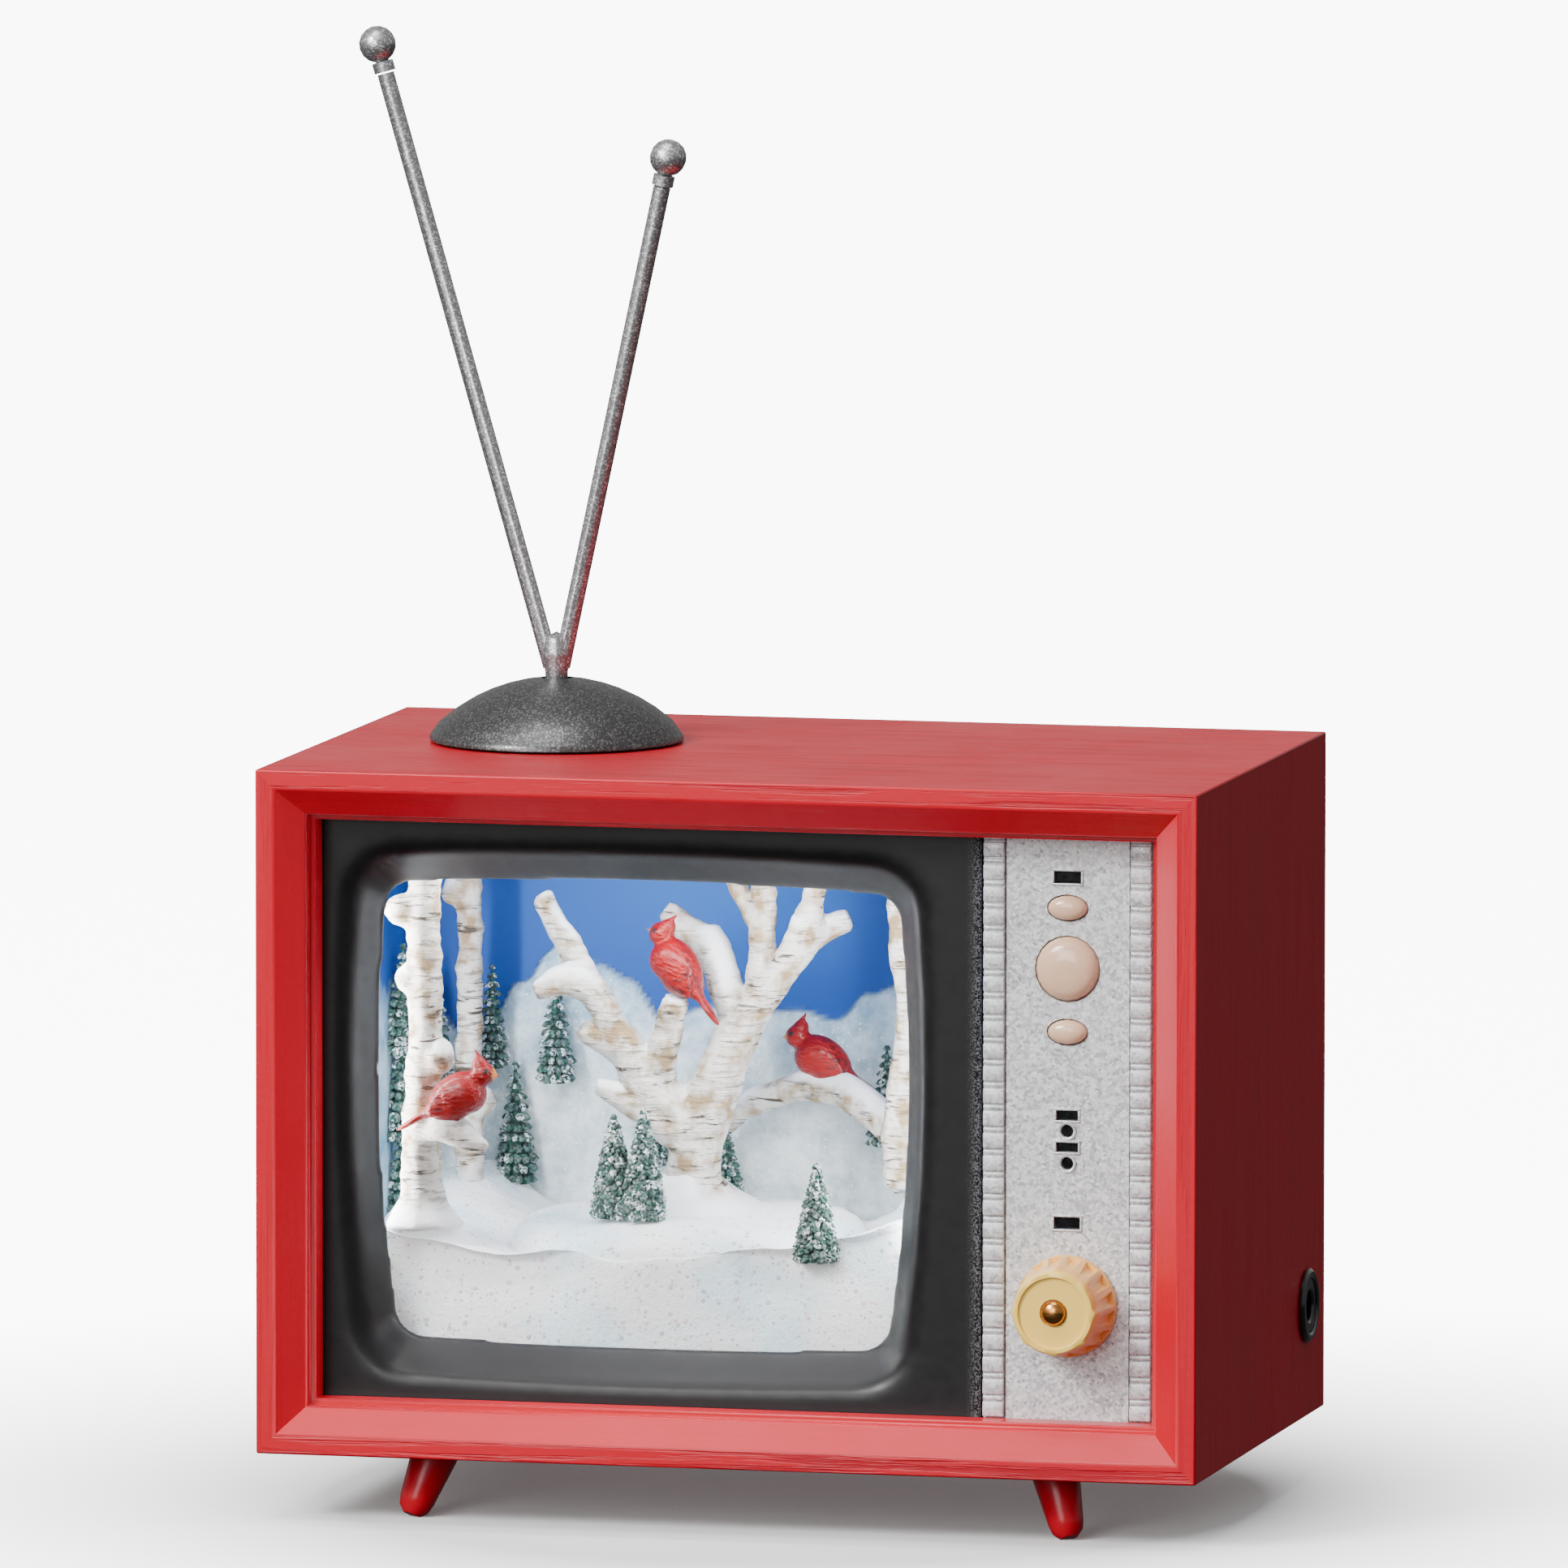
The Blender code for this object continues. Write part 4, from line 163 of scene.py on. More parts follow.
class CabinetSettings(bpy.types.PropertyGroup):
    """Colours of the wooden cabinet and the parts round the screen."""

    lacquer: colour("Lacquer", "Red of the boards, the moulding and the legs", (0.56, 0.003, 0.017))
    mask: colour("Mask", "Black round the screen", (0.006, 0.006, 0.007))
    silver: colour("Silver paint", "Sprayed paint of the control panel and its strips", (0.70, 0.71, 0.76))
    button: colour("Buttons", "Moulded colour of the push buttons", (0.86, 0.56, 0.37))
    knob: colour("Knob", "Cream of the volume knob", (0.93, 0.51, 0.13))
    bevel_width: length("Bevel width", "Width of the slope inside the front edge", 0.0053)
    bevel_depth: length("Bevel depth", "Depth at the inner end of the slope", 0.0045)
    lip_depth: length("Lip depth", "Depth of the small lip round the mask", 0.0069)
    lip_width: length("Lip width", "Width of the lip", 0.0011)
    strip_pitch: length("Strip pitch", "Spacing of the blocks on the silver strips", 0.00435)
    grain_depth: length("Grain depth", "Relief of the wood grain", 0.00018, min=0.0)


class WinterSettings(bpy.types.PropertyGroup):
    """Colours and sizes of the winter scene."""

    sky: colour("Sky", "Blue of the backdrop", (0.002, 0.060, 0.30))
    snow: colour("Snow", "White of the snow", (0.95, 0.97, 0.98))
    bark: colour("Bark", "Pale colour of the birch bark", (0.74, 0.71, 0.66))
    plumage: colour("Plumage", "Red of the birds", (0.26, 0.0006, 0.0018))
    needles: colour("Needles", "Green of the firs", (0.003, 0.035, 0.024))
    snow_cap: length("Snow cap", "Depth of snow lying on the boughs", 0.0013, min=0.0)
    casting_facet: length("Casting facet", "Facet size of the fine castings", 0.0006, min=0.0002)
    seed: IntProperty(name="Seed", description="Start of every random choice", default=7)


class StudioSettings(bpy.types.PropertyGroup):
    """Camera and lights."""

    azimuth: FloatProperty(
        name="Azimuth", description="Turn of the camera to the right of the screen",
        default=math.radians(13.606), subtype="ANGLE",
    )
    elevation: FloatProperty(
        name="Elevation", description="Height angle of the camera",
        default=math.radians(6.363), subtype="ANGLE",
    )
    roll: FloatProperty(name="Roll", description="Tilt of the camera", default=0.00085, subtype="ANGLE")
    distance: length("Distance", "Camera to target", 4.4709)
    lens: FloatProperty(name="Lens", description="Focal length in millimetres", default=534.6)
    target: FloatVectorProperty(
        name="Target", description="Point the camera looks at",
        default=(-0.0027, 0.0, 0.1380), subtype="TRANSLATION",
    )
    floor: colour("Floor", "Pale floor", (0.86, 0.86, 0.86))


# ---------------------------------------------------------------- material recipes
class Recipe:
    """A material with short calls for the nodes that feed its shader."""

    def __init__(self, name, base, roughness, metallic=0.0, **sockets):
        self.material = bpy.data.materials.new(name)
        self.material.use_nodes = True
        self.nodes = self.material.node_tree.nodes
        self.links = self.material.node_tree.links
        self.shader = self.nodes["Principled BSDF"]
        self.shader.inputs["Base Color"].default_value = (*base, 1.0)
        self.shader.inputs["Roughness"].default_value = roughness
        self.shader.inputs["Metallic"].default_value = metallic
        for socket, value in sockets.items():
            self.shader.inputs[socket.replace("_", " ")].default_value = value
        self.place = self.nodes.new("ShaderNodeTexCoord").outputs["Object"]

    def put(self, socket, value):
        """Links a socket, or sets a plain value."""
        if isinstance(value, bpy.types.NodeSocket):
            self.links.new(value, socket)
        else:
            socket.default_value = value

    def stretched(self, scale, turn=(0, 0, 0), source=None):
        """Coordinates scaled apart along X, Y and Z."""
        mapping = self.nodes.new("ShaderNodeMapping")
        mapping.inputs["Scale"].default_value = scale
        mapping.inputs["Rotation"].default_value = turn
        self.links.new(source or self.place, mapping.inputs["Vector"])
        return mapping.outputs["Vector"]

    def cloud(self, scale, detail=2.0, vector=None, roughness=0.5, distortion=0.0):
        """Soft noise from 0 to 1."""
        texture = self.nodes.new("ShaderNodeTexNoise")
        texture.inputs["Scale"].default_value = scale
        texture.inputs["Detail"].default_value = detail
        texture.inputs["Roughness"].default_value = roughness
        texture.inputs["Distortion"].default_value = distortion
        self.links.new(vector or self.place, texture.inputs["Vector"])
        return texture.outputs[0]

    def flakes(self, scale):
        """Cells: (distance, colour) of small flat flakes."""
        texture = self.nodes.new("ShaderNodeTexVoronoi")
        texture.inputs["Scale"].default_value = scale
        self.links.new(self.place, texture.inputs["Vector"])
        return texture.outputs["Distance"], texture.outputs["Color"]

    def ramp(self, value, low, high, start=0.0, end=1.0):
        """A value moved from one range to another, and held at its ends."""
        reach = self.nodes.new("ShaderNodeMapRange")
        reach.inputs["From Min"].default_value = low
        reach.inputs["From Max"].default_value = high
        reach.inputs["To Min"].default_value = start
        reach.inputs["To Max"].default_value = end
        self.links.new(value, reach.inputs["Value"])
        return reach.outputs["Result"]

    def combine(self, operation, first, second):
        """Two values through one arithmetic operation."""
        sums = self.nodes.new("ShaderNodeMath")
        sums.operation = operation
        self.put(sums.inputs[0], first)
        self.put(sums.inputs[1], second)
        return sums.outputs[0]

    def times(self, first, second):
        return self.combine("MULTIPLY", first, second)

    def between(self, factor, first, second):
        """Mixes two values."""
        mixer = self.nodes.new("ShaderNodeMix")
        for socket, value in zip(mixer.inputs[0:1] + mixer.inputs[2:4], (factor, first, second)):
            self.put(socket, value)
        return mixer.outputs[0]

    def part_of(self, vector, axis):
        split = self.nodes.new("ShaderNodeSeparateXYZ")
        self.links.new(vector, split.inputs[0])
        return split.outputs[axis]

    def attribute(self, name, output="Fac"):
        source = self.nodes.new("ShaderNodeAttribute")
        source.attribute_name = name
        return source.outputs[output]

    def blend(self, factor, first, second):
        """Mixes two colours, each a socket or three numbers."""
        mixer = self.nodes.new("ShaderNodeMix")
        mixer.data_type = "RGBA"
        self.put(mixer.inputs[0], factor)
        for socket, value in ((mixer.inputs[6], first), (mixer.inputs[7], second)):
            self.put(socket, value if isinstance(value, bpy.types.NodeSocket) else (*value, 1.0))
        return mixer.outputs[2]

    def colour(self, value):
        self.put(self.shader.inputs["Base Color"], value)

    def rough(self, value):
        self.put(self.shader.inputs["Roughness"], value)

    def relief(self, height, distance, strength=1.0):
        """Bumps the surface; several calls add up."""
        bump = self.nodes.new("ShaderNodeBump")
        bump.inputs["Distance"].default_value = distance
        bump.inputs["Strength"].default_value = strength
        self.links.new(height, bump.inputs["Height"])
        known = self.shader.inputs["Normal"]
        if known.is_linked:
            self.links.new(known.links[0].from_socket, bump.inputs["Normal"])
        self.links.new(bump.outputs["Normal"], known)


def shade(base, factor):
    """A colour made darker or lighter."""
    return tuple(min(1.0, c * factor) for c in base)


def lacquered_wood(base, depth):
    """Lacquer over open grain, which runs along each board; the moulding is smooth."""
    recipe = Recipe(
        "lacquered_wood", base, 0.34, Specular_IOR_Level=0.32, Coat_Weight=0.10, Coat_Roughness=0.3
    )
    lines = [
        recipe.cloud(1.0, 3.0, recipe.stretched(scale), 0.62, 0.35)
        for scale in ((24.0, 900.0, 900.0), (900.0, 900.0, 24.0))  # along X, then along Z
    ]
    along = recipe.between(recipe.attribute("upright"), *lines)
    wide = recipe.cloud(38.0, 2.0)
    deep = recipe.times(recipe.ramp(along, 0.50, 0.62), recipe.ramp(wide, 0.35, 0.62, 0.35, 1.0))
    grain = recipe.times(deep, recipe.attribute("grain"))
    recipe.colour(recipe.blend(recipe.times(grain, 0.6), base, shade(base, 0.45)))
    recipe.rough(recipe.ramp(wide, 0.3, 0.7, 0.30, 0.42))
    recipe.relief(recipe.combine("SUBTRACT", 1.0, grain), depth)
    recipe.relief(recipe.cloud(900.0, 2.0), 0.00003)
    return recipe.material


def lacquered_moulding(name, base):
    """Smooth lacquer with a faint orange peel."""
    recipe = Recipe(name, base, 0.30, Specular_IOR_Level=0.26, Coat_Weight=0.12, Coat_Roughness=0.16)
    soft = recipe.cloud(55.0, 3.0)
    recipe.colour(recipe.blend(recipe.ramp(soft, 0.35, 0.65), shade(base, 0.92), shade(base, 1.06)))
    recipe.rough(recipe.ramp(soft, 0.3, 0.7, 0.26, 0.36))
    recipe.relief(recipe.cloud(900.0, 2.0), 0.00003)
    return recipe.material


def mask_plastic(base, silver):
    """Satin black moulding, with overspray of the silver paint along its right edge."""
    recipe = Recipe("mask_black", base, 0.34, Specular_IOR_Level=0.34)
    fine = recipe.cloud(420.0, 4.0)
    recipe.rough(recipe.ramp(fine, 0.3, 0.7, 0.33, 0.42))
    recipe.relief(recipe.cloud(260.0, 3.0), 0.00010, 0.35)
    edge = recipe.ramp(recipe.part_of(recipe.place, 0), MASK_BOX[1].x - 0.0034, MASK_BOX[1].x + 0.0012)
    mist = recipe.times(edge, edge)
    grains = recipe.ramp(recipe.cloud(3200.0, 1.0), 0.46, 0.60)
    spray = recipe.times(recipe.times(mist, grains), 0.75)
    recipe.colour(recipe.blend(spray, base, silver))
    return recipe.material


def sprayed_silver(name, base, sparkle=0.5):
    """Metallic spray paint with a fine light and dark speckle."""
    recipe = Recipe(name, base, 0.42, 0.25)
    _, tint = recipe.flakes(1700.0)
    speck = recipe.part_of(tint, 0)
    grain = recipe.cloud(1900.0, 3.0)
    light = recipe.combine("ADD", recipe.times(speck, sparkle), recipe.times(grain, 0.6))
    recipe.colour(recipe.blend(recipe.ramp(light, 0.2, 0.95), shade(base, 0.55), shade(base, 1.75)))
    recipe.rough(recipe.ramp(speck, 0.0, 1.0, 0.26, 0.55))
    recipe.relief(grain, 0.00006, 0.7)
    return recipe.material


def moulded_gloss(name, base, roughness=0.2):
    """Glossy moulded plastic with slight sink and scuffs."""
    recipe = Recipe(name, base, roughness, Coat_Weight=0.5, Coat_Roughness=0.08)
    soft = recipe.cloud(140.0, 3.0)
    recipe.colour(recipe.blend(recipe.ramp(soft, 0.3, 0.7), shade(base, 0.94), shade(base, 1.05)))
    recipe.rough(recipe.ramp(recipe.cloud(700.0, 2.0), 0.35, 0.7, roughness, roughness + 0.10))
    recipe.relief(soft, 0.00006, 0.5)
    return recipe.material


def knob_cream(base):
    """Cream plastic, with the front face painted paler as painted light, so the ribs read browner as
    painted shade.
    """
    recipe = Recipe("knob_cream", base, 0.32, Coat_Weight=0.3, Coat_Roughness=0.2, Subsurface_Weight=0.06)
    recipe.shader.inputs["Subsurface Radius"].default_value = (0.0012, 0.0008, 0.0004)
    depth = recipe.part_of(recipe.place, 1)
    face = recipe.ramp(depth, KNOB_BOX[0].y + 0.0006, KNOB_BOX[0].y + 0.0022)
    soft = recipe.cloud(160.0, 3.0)
    aged = recipe.blend(recipe.ramp(soft, 0.35, 0.65), shade(base, 0.95), shade(base, 1.05))
    # Paler cream of the front face: painted light, the face shown lit and the ribbed side left in shade.
    pale = (1.0, 0.66, 0.13)
    recipe.colour(recipe.blend(face, pale, aged))
    recipe.relief(recipe.cloud(600.0, 3.0), 0.00005, 0.6)
    return recipe.material


def plated(name, base, roughness):
    """Bare or plated metal with fine scratches."""
    recipe = Recipe(name, base, roughness, 1.0)
    lines = recipe.cloud(1.0, 3.0, recipe.stretched((300.0, 300.0, 2600.0)))
    recipe.rough(recipe.ramp(lines, 0.3, 0.7, roughness * 0.8, roughness * 1.3))
    recipe.relief(lines, 0.00002, 0.5)
    return recipe.material


def glitter_silver(name, base, metallic):
    """Dark silver paint full of small bright flakes."""
    recipe = Recipe(name, base, 0.34, metallic)
    _, tint = recipe.flakes(3400.0)
    flake = recipe.ramp(recipe.part_of(tint, 1), 0.62, 1.0)
    recipe.colour(recipe.blend(flake, shade(base, 0.8), shade(base, 2.4)))
    recipe.rough(recipe.ramp(recipe.part_of(tint, 0), 0.0, 1.0, 0.30, 0.46))
    recipe.relief(recipe.cloud(2400.0, 2.0), 0.00003, 0.6)
    return recipe.material


def matt_plastic(name, base, roughness=0.5):
    """Moulded plastic with a fine spark-eroded texture."""
    recipe = Recipe(name, base, roughness)
    soft = recipe.cloud(90.0, 2.0)
    recipe.colour(recipe.blend(recipe.ramp(soft, 0.3, 0.7), shade(base, 0.9), shade(base, 1.12)))
    grain = recipe.cloud(2200.0, 2.0)
    recipe.rough(recipe.ramp(grain, 0.3, 0.7, roughness - 0.06, roughness + 0.10))
    recipe.relief(grain, 0.00006, 0.6)
    return recipe.material


def clear_window():
    """Clear sheet with a faint smoke."""
    recipe = Recipe("clear_window", (0.03, 0.03, 0.035), 0.06, Alpha=0.035)
    recipe.relief(recipe.cloud(40.0, 1.0), 0.00002, 0.3)
    return recipe.material


def circuit_board():
    """Green solder mask over faint copper runs."""
    recipe = Recipe("circuit_board", (0.02, 0.16, 0.06), 0.32)
    runs = recipe.nodes.new("ShaderNodeTexBrick")
    runs.inputs["Scale"].default_value = 260.0
    runs.inputs["Mortar Size"].default_value = 0.03
    recipe.links.new(recipe.place, runs.inputs["Vector"])
    recipe.colour(recipe.blend(runs.outputs["Fac"], (0.02, 0.16, 0.06), (0.03, 0.28, 0.10)))
    recipe.relief(runs.outputs["Fac"], 0.00003)
    return recipe.material


def glitter_snow(base):
    """White casting with blue shade in the hollows, coloured glitter, and a faint white glow that is
    painted light.
    """
    # Emission strength 0.28 makes the snow glow faintly white: painted light that brightens it beyond the
    # lamps.
    recipe = Recipe("glitter_snow", base, 0.60, Subsurface_Weight=0.10, Emission_Strength=0.28)
    recipe.shader.inputs["Subsurface Radius"].default_value = (0.0014, 0.0017, 0.0022)
    soft = recipe.cloud(46.0, 3.0)
    hollow = recipe.ramp(soft, 0.48, 0.62)
    shown = recipe.blend(recipe.times(hollow, 0.65), base, (0.50, 0.80, 0.92))
    for scale, low, pale, dark in (
        (1000.0, 0.66, (0.66, 0.34, 0.42), (0.26, 0.36, 0.42)),
        (640.0, 0.80, (0.78, 0.50, 0.56), (0.34, 0.40, 0.45)),
    ):
        distance, colours = recipe.flakes(scale)
        near = recipe.ramp(distance, 0.26, 0.34, 1.0, 0.0)
        spark = recipe.times(near, recipe.ramp(recipe.part_of(colours, 0), low, low + 0.03))
        pink = recipe.ramp(recipe.part_of(colours, 1), 0.40, 0.60)
        shown = recipe.blend(recipe.times(spark, 0.8), shown, recipe.blend(pink, dark, pale))
    recipe.colour(shown)
    recipe.rough(recipe.ramp(spark, 0.0, 1.0, 0.60, 0.16))
    recipe.relief(recipe.cloud(900.0, 4.0, roughness=0.7), 0.00045, 1.0)
    recipe.relief(spark, 0.00012, 1.0)
    return recipe.material


def birch_bark(base, snow):
    """Papery white bark with dark broken bands round the bough, and snow where it lies."""
    recipe = Recipe("birch_bark", base, 0.6)
    around = recipe.stretched((150.0, 150.0, 1100.0))
    bands = recipe.cloud(1.0, 4.0, around, 0.65, 0.5)
    marks = recipe.ramp(bands, 0.545, 0.61)
    patches = recipe.ramp(recipe.cloud(150.0, 3.0), 0.44, 0.58)
    warm = recipe.blend(recipe.ramp(recipe.cloud(230.0, 4.0), 0.47, 0.64), base, (0.36, 0.25, 0.13))
    dark = recipe.times(marks, recipe.ramp(patches, 0.0, 1.0, 0.50, 1.0))
    bark = recipe.blend(dark, warm, (0.055, 0.038, 0.022))
    lying = recipe.attribute("snow")
    recipe.colour(recipe.blend(lying, bark, snow))
    recipe.relief(recipe.times(bands, recipe.combine("SUBTRACT", 1.0, lying)), 0.0009, 0.9)
    recipe.relief(recipe.cloud(1300.0, 4.0, roughness=0.7), 0.00030, 0.9)
    return recipe.material


def plumage(base):
    """Glossy red paint with dark feather strokes, a dark face and an orange beak."""
    recipe = Recipe("plumage", base, 0.34, Specular_IOR_Level=0.3, Coat_Weight=0.22, Coat_Roughness=0.10)
    local = recipe.attribute("bird", "Vector")
    strokes = recipe.cloud(1.0, 3.0, recipe.stretched((7.0, 26.0, 26.0), (0, 0.7, 0), local), 0.6, 0.4)
    back = recipe.ramp(recipe.part_of(local, 0), 0.12, -0.10)
    feather = recipe.times(recipe.ramp(strokes, 0.52, 0.60), back)
    painted = recipe.blend(recipe.times(feather, 0.8), base, (0.03, 0.004, 0.004))
    face = recipe.blend(recipe.attribute("face"), painted, (0.015, 0.012, 0.012))
    recipe.colour(recipe.blend(recipe.attribute("beak"), face, (0.70, 0.20, 0.01)))
    folds = recipe.cloud(1.0, 3.0, recipe.stretched((12.0, 34.0, 34.0), (0, 0.7, 0), local))
    recipe.relief(folds, 0.00060, 1.0)
    return recipe.material


def fir_needles(base):
    """Green bristle with frost and glitter at the tips."""
    recipe = Recipe("fir_needles", base, 0.5)
    frost = recipe.attribute("frost")
    tone = recipe.ramp(recipe.cloud(1500.0, 2.0), 0.4, 0.6)
    mottled = recipe.blend(tone, shade(base, 0.4), shade(base, 2.6))
    speck = recipe.ramp(recipe.cloud(1900.0, 2.0), 0.42, 0.60)
    white = recipe.times(frost, speck)
    recipe.colour(recipe.blend(white, mottled, (0.84, 0.90, 0.92)))
    recipe.rough(recipe.ramp(frost, 0.0, 1.0, 0.55, 0.25))
    return recipe.material


def wall_paint(sky):
    """Inside of the tub: sky above, frosted blue below."""
    recipe = Recipe("wall_paint", sky, 0.6, Specular_IOR_Level=0.3)
    soft = recipe.cloud(90.0, 5.0, roughness=0.6)
    crest = recipe.combine("ADD", recipe.part_of(recipe.place, 2), recipe.times(soft, 0.03))
    low = recipe.ramp(crest, 0.112, 0.104)
    frost = recipe.blend(recipe.ramp(soft, 0.4, 0.6), (0.14, 0.30, 0.46), (0.42, 0.60, 0.72))
    recipe.colour(recipe.blend(low, sky, frost))
    recipe.relief(soft, 0.0008, 0.7)
    return recipe.material


def painted_sky(sky):
    """Backdrop: blue sky that pales towards its middle, with frosted hills below."""
    recipe = Recipe("painted_sky", sky, 0.6, Specular_IOR_Level=0.3)
    side = recipe.part_of(recipe.place, 0)
    height = recipe.part_of(recipe.place, 2)
    middle = (BACKDROP_BOX[0].x + BACKDROP_BOX[1].x) / 2
    off = recipe.combine("ABSOLUTE", recipe.combine("SUBTRACT", side, middle), 0.0)
    pale = recipe.times(recipe.ramp(off, 0.055, 0.0), recipe.ramp(height, 0.09, 0.125))
    air = recipe.blend(recipe.times(pale, 0.45), sky, (0.05, 0.24, 0.66))
    hill = recipe.attribute("hill")
    rough_snow = recipe.cloud(170.0, 5.0, roughness=0.65)
    high = recipe.ramp(height, 0.070, 0.100)
    frost = recipe.blend(recipe.ramp(rough_snow, 0.38, 0.62), (0.15, 0.36, 0.56), (0.52, 0.74, 0.86))
    plain = recipe.blend(recipe.ramp(rough_snow, 0.35, 0.62), (0.46, 0.56, 0.59), (0.80, 0.87, 0.88))
    frost = recipe.blend(high, plain, frost)
    distance, colours = recipe.flakes(900.0)
    near = recipe.ramp(distance, 0.16, 0.26, 1.0, 0.0)
    spark = recipe.times(near, recipe.ramp(recipe.part_of(colours, 0), 0.62, 0.66))
    frost = recipe.blend(recipe.times(spark, 0.9), frost, (0.95, 0.93, 0.95))
    recipe.colour(recipe.blend(hill, air, frost))
    recipe.relief(recipe.times(rough_snow, hill), 0.0016, 0.9)
    return recipe.material


# ---------------------------------------------------------------- making pieces
def paint(material, *names):
    """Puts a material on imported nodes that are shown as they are."""
    for name in names:
        node = NODES[name]
        node.data.materials.clear()
        node.data.materials.append(material)


def settle(name, bm, body, slot, material, *stands_for, smooth=True):
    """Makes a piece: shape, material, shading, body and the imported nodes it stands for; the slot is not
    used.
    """
    piece = new_piece(name, bm)
    piece.data.materials.append(material)
    if smooth:
        piece.data.shade_smooth()
    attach(piece, body)
    if stands_for:
        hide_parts(*stands_for)


def new_piece(name, bm):
    """An object with the shape of a bmesh, which is freed."""
    mesh = bpy.data.meshes.new(name)
    bm.to_mesh(mesh)
    bm.free()
    piece = bpy.data.objects.new(name, mesh)
    bpy.context.scene.collection.objects.link(piece)
    return piece


def merged_copy(node):
    """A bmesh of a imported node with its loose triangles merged."""
    bm = bmesh.new()
    bm.from_mesh(NODES[node].data)
    bmesh.ops.remove_doubles(bm, verts=bm.verts, dist=0.000002)
    bmesh.ops.recalc_face_normals(bm, faces=bm.faces)
    return bm


def relaxed(bm, verts, times):
    """Evens out the places of some vertices."""
    for _ in range(times):
        bmesh.ops.smooth_vert(
            bm, verts=verts, factor=0.5, use_axis_x=True, use_axis_y=True, use_axis_z=True
        )


def extruded(bm, edges):
    """One more row from a line of edges: its new edges and vertices."""
    grown = bmesh.ops.extrude_edge_only(bm, edges=edges)["geom"]
    kinds = (bmesh.types.BMEdge, bmesh.types.BMVert)
    return [[item for item in grown if isinstance(item, kind)] for kind in kinds]


def remeshed(bm, facet, relax):
    """Even small facets over the shape, relaxed so that joints flow together."""
    piece = new_piece("remesh", bm)
    modifier = piece.modifiers.new("remesh", "REMESH")
    modifier.mode = "VOXEL"
    modifier.voxel_size = facet
    fine = evaluated(piece)
    relaxed(fine, fine.verts, relax)
    fine.normal_update()
    return fine


def evaluated(piece):
    """The finished shape of a piece with modifiers; the piece itself is removed."""
    graph = bpy.context.evaluated_depsgraph_get()
    mesh = bpy.data.meshes.new_from_object(piece.evaluated_get(graph))
    bpy.data.objects.remove(piece, do_unlink=True)
    bm = bmesh.new()
    bm.from_mesh(mesh)
    bpy.data.meshes.remove(mesh)
    return bm


def pierced(bm, tool):
    """A shape with another one taken out of it."""
    piece = new_piece("blank", bm)
    cutter = new_piece("cutter", tool)
    modifier = piece.modifiers.new("pierce", "BOOLEAN")
    modifier.operation = "DIFFERENCE"
    modifier.solver = "EXACT"
    modifier.object = cutter
    result = evaluated(piece)
    bpy.data.objects.remove(cutter, do_unlink=True)
    return result


def crease(bm, degrees):
    """Round faces shade smooth, and edges sharper than an angle stay crisp."""
    for face in bm.faces:
        face.smooth = True
    for edge in bm.edges:
        edge.smooth = edge.calc_face_angle(0.0) < math.radians(degrees)
    return bm


def smooth_casting(material, *names):
    """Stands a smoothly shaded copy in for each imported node."""
    for name in names:
        shape = crease(merged_copy(name), SMOOTH_ANGLE)
        settle(name + "_smooth", shape, BODY_OF[name], SLOT_OF[name], material, name, smooth=False)


def block(bm, low, high, rounding):
    """A block between two corners with rounded edges."""
    verts = bmesh.ops.create_cube(bm, size=1.0)["verts"]
    bmesh.ops.scale(bm, vec=high - low, verts=verts)
    bmesh.ops.translate(bm, vec=(low + high) / 2, verts=verts)
    edges = list({edge for vert in verts for edge in vert.link_edges})
    bmesh.ops.bevel(
        bm, geom=verts + edges, offset=rounding, affect="EDGES", segments=2, profile=0.5, material=-1,
        clamp_overlap=True,
    )


def stretch(value, low, high):
    """Soft step from 0 to 1 between two values, in either direction."""
    t = min(1.0, max(0.0, (value - low) / (high - low)))
    return t * t * (3 - 2 * t)


def height_along(crest, x):
    """Height of a crest line at a side place."""
    for (x0, z0), (x1, z1) in zip(crest, crest[1:]):
        if x <= x1:
            return z0 + (z1 - z0) * stretch(x, x0, x1)
    return crest[-1][1]



def lay_snow(bm, depth):
    """Pushes up what faces up, in lumps, and records it in the snow attribute."""
    layer = bm.verts.layers.float.new("snow")
    moves = []
    for vert in bm.verts:
        facing = stretch(vert.normal.z, 0.25, 0.70)
        lump = 0.55 + 0.75 * noise.noise(vert.co * 120.0)
        patch = stretch(noise.noise(vert.co * 75.0 + Vector((3.1, 0.4, 7.7))), -0.35, 0.05)
        lying = facing * patch
        vert[layer] = min(1.0, lying * 1.6)
        moves.append((vert, Vector((0, 0, 1)) * (depth * lying * lump)))
    for vert, move in moves:
        vert.co += move


def roughen(bm, depth, scale):
    """Moves the surface in and out in lumps."""
    for vert in bm.verts:
        vert.co += vert.normal * (depth * noise.noise(vert.co * scale))


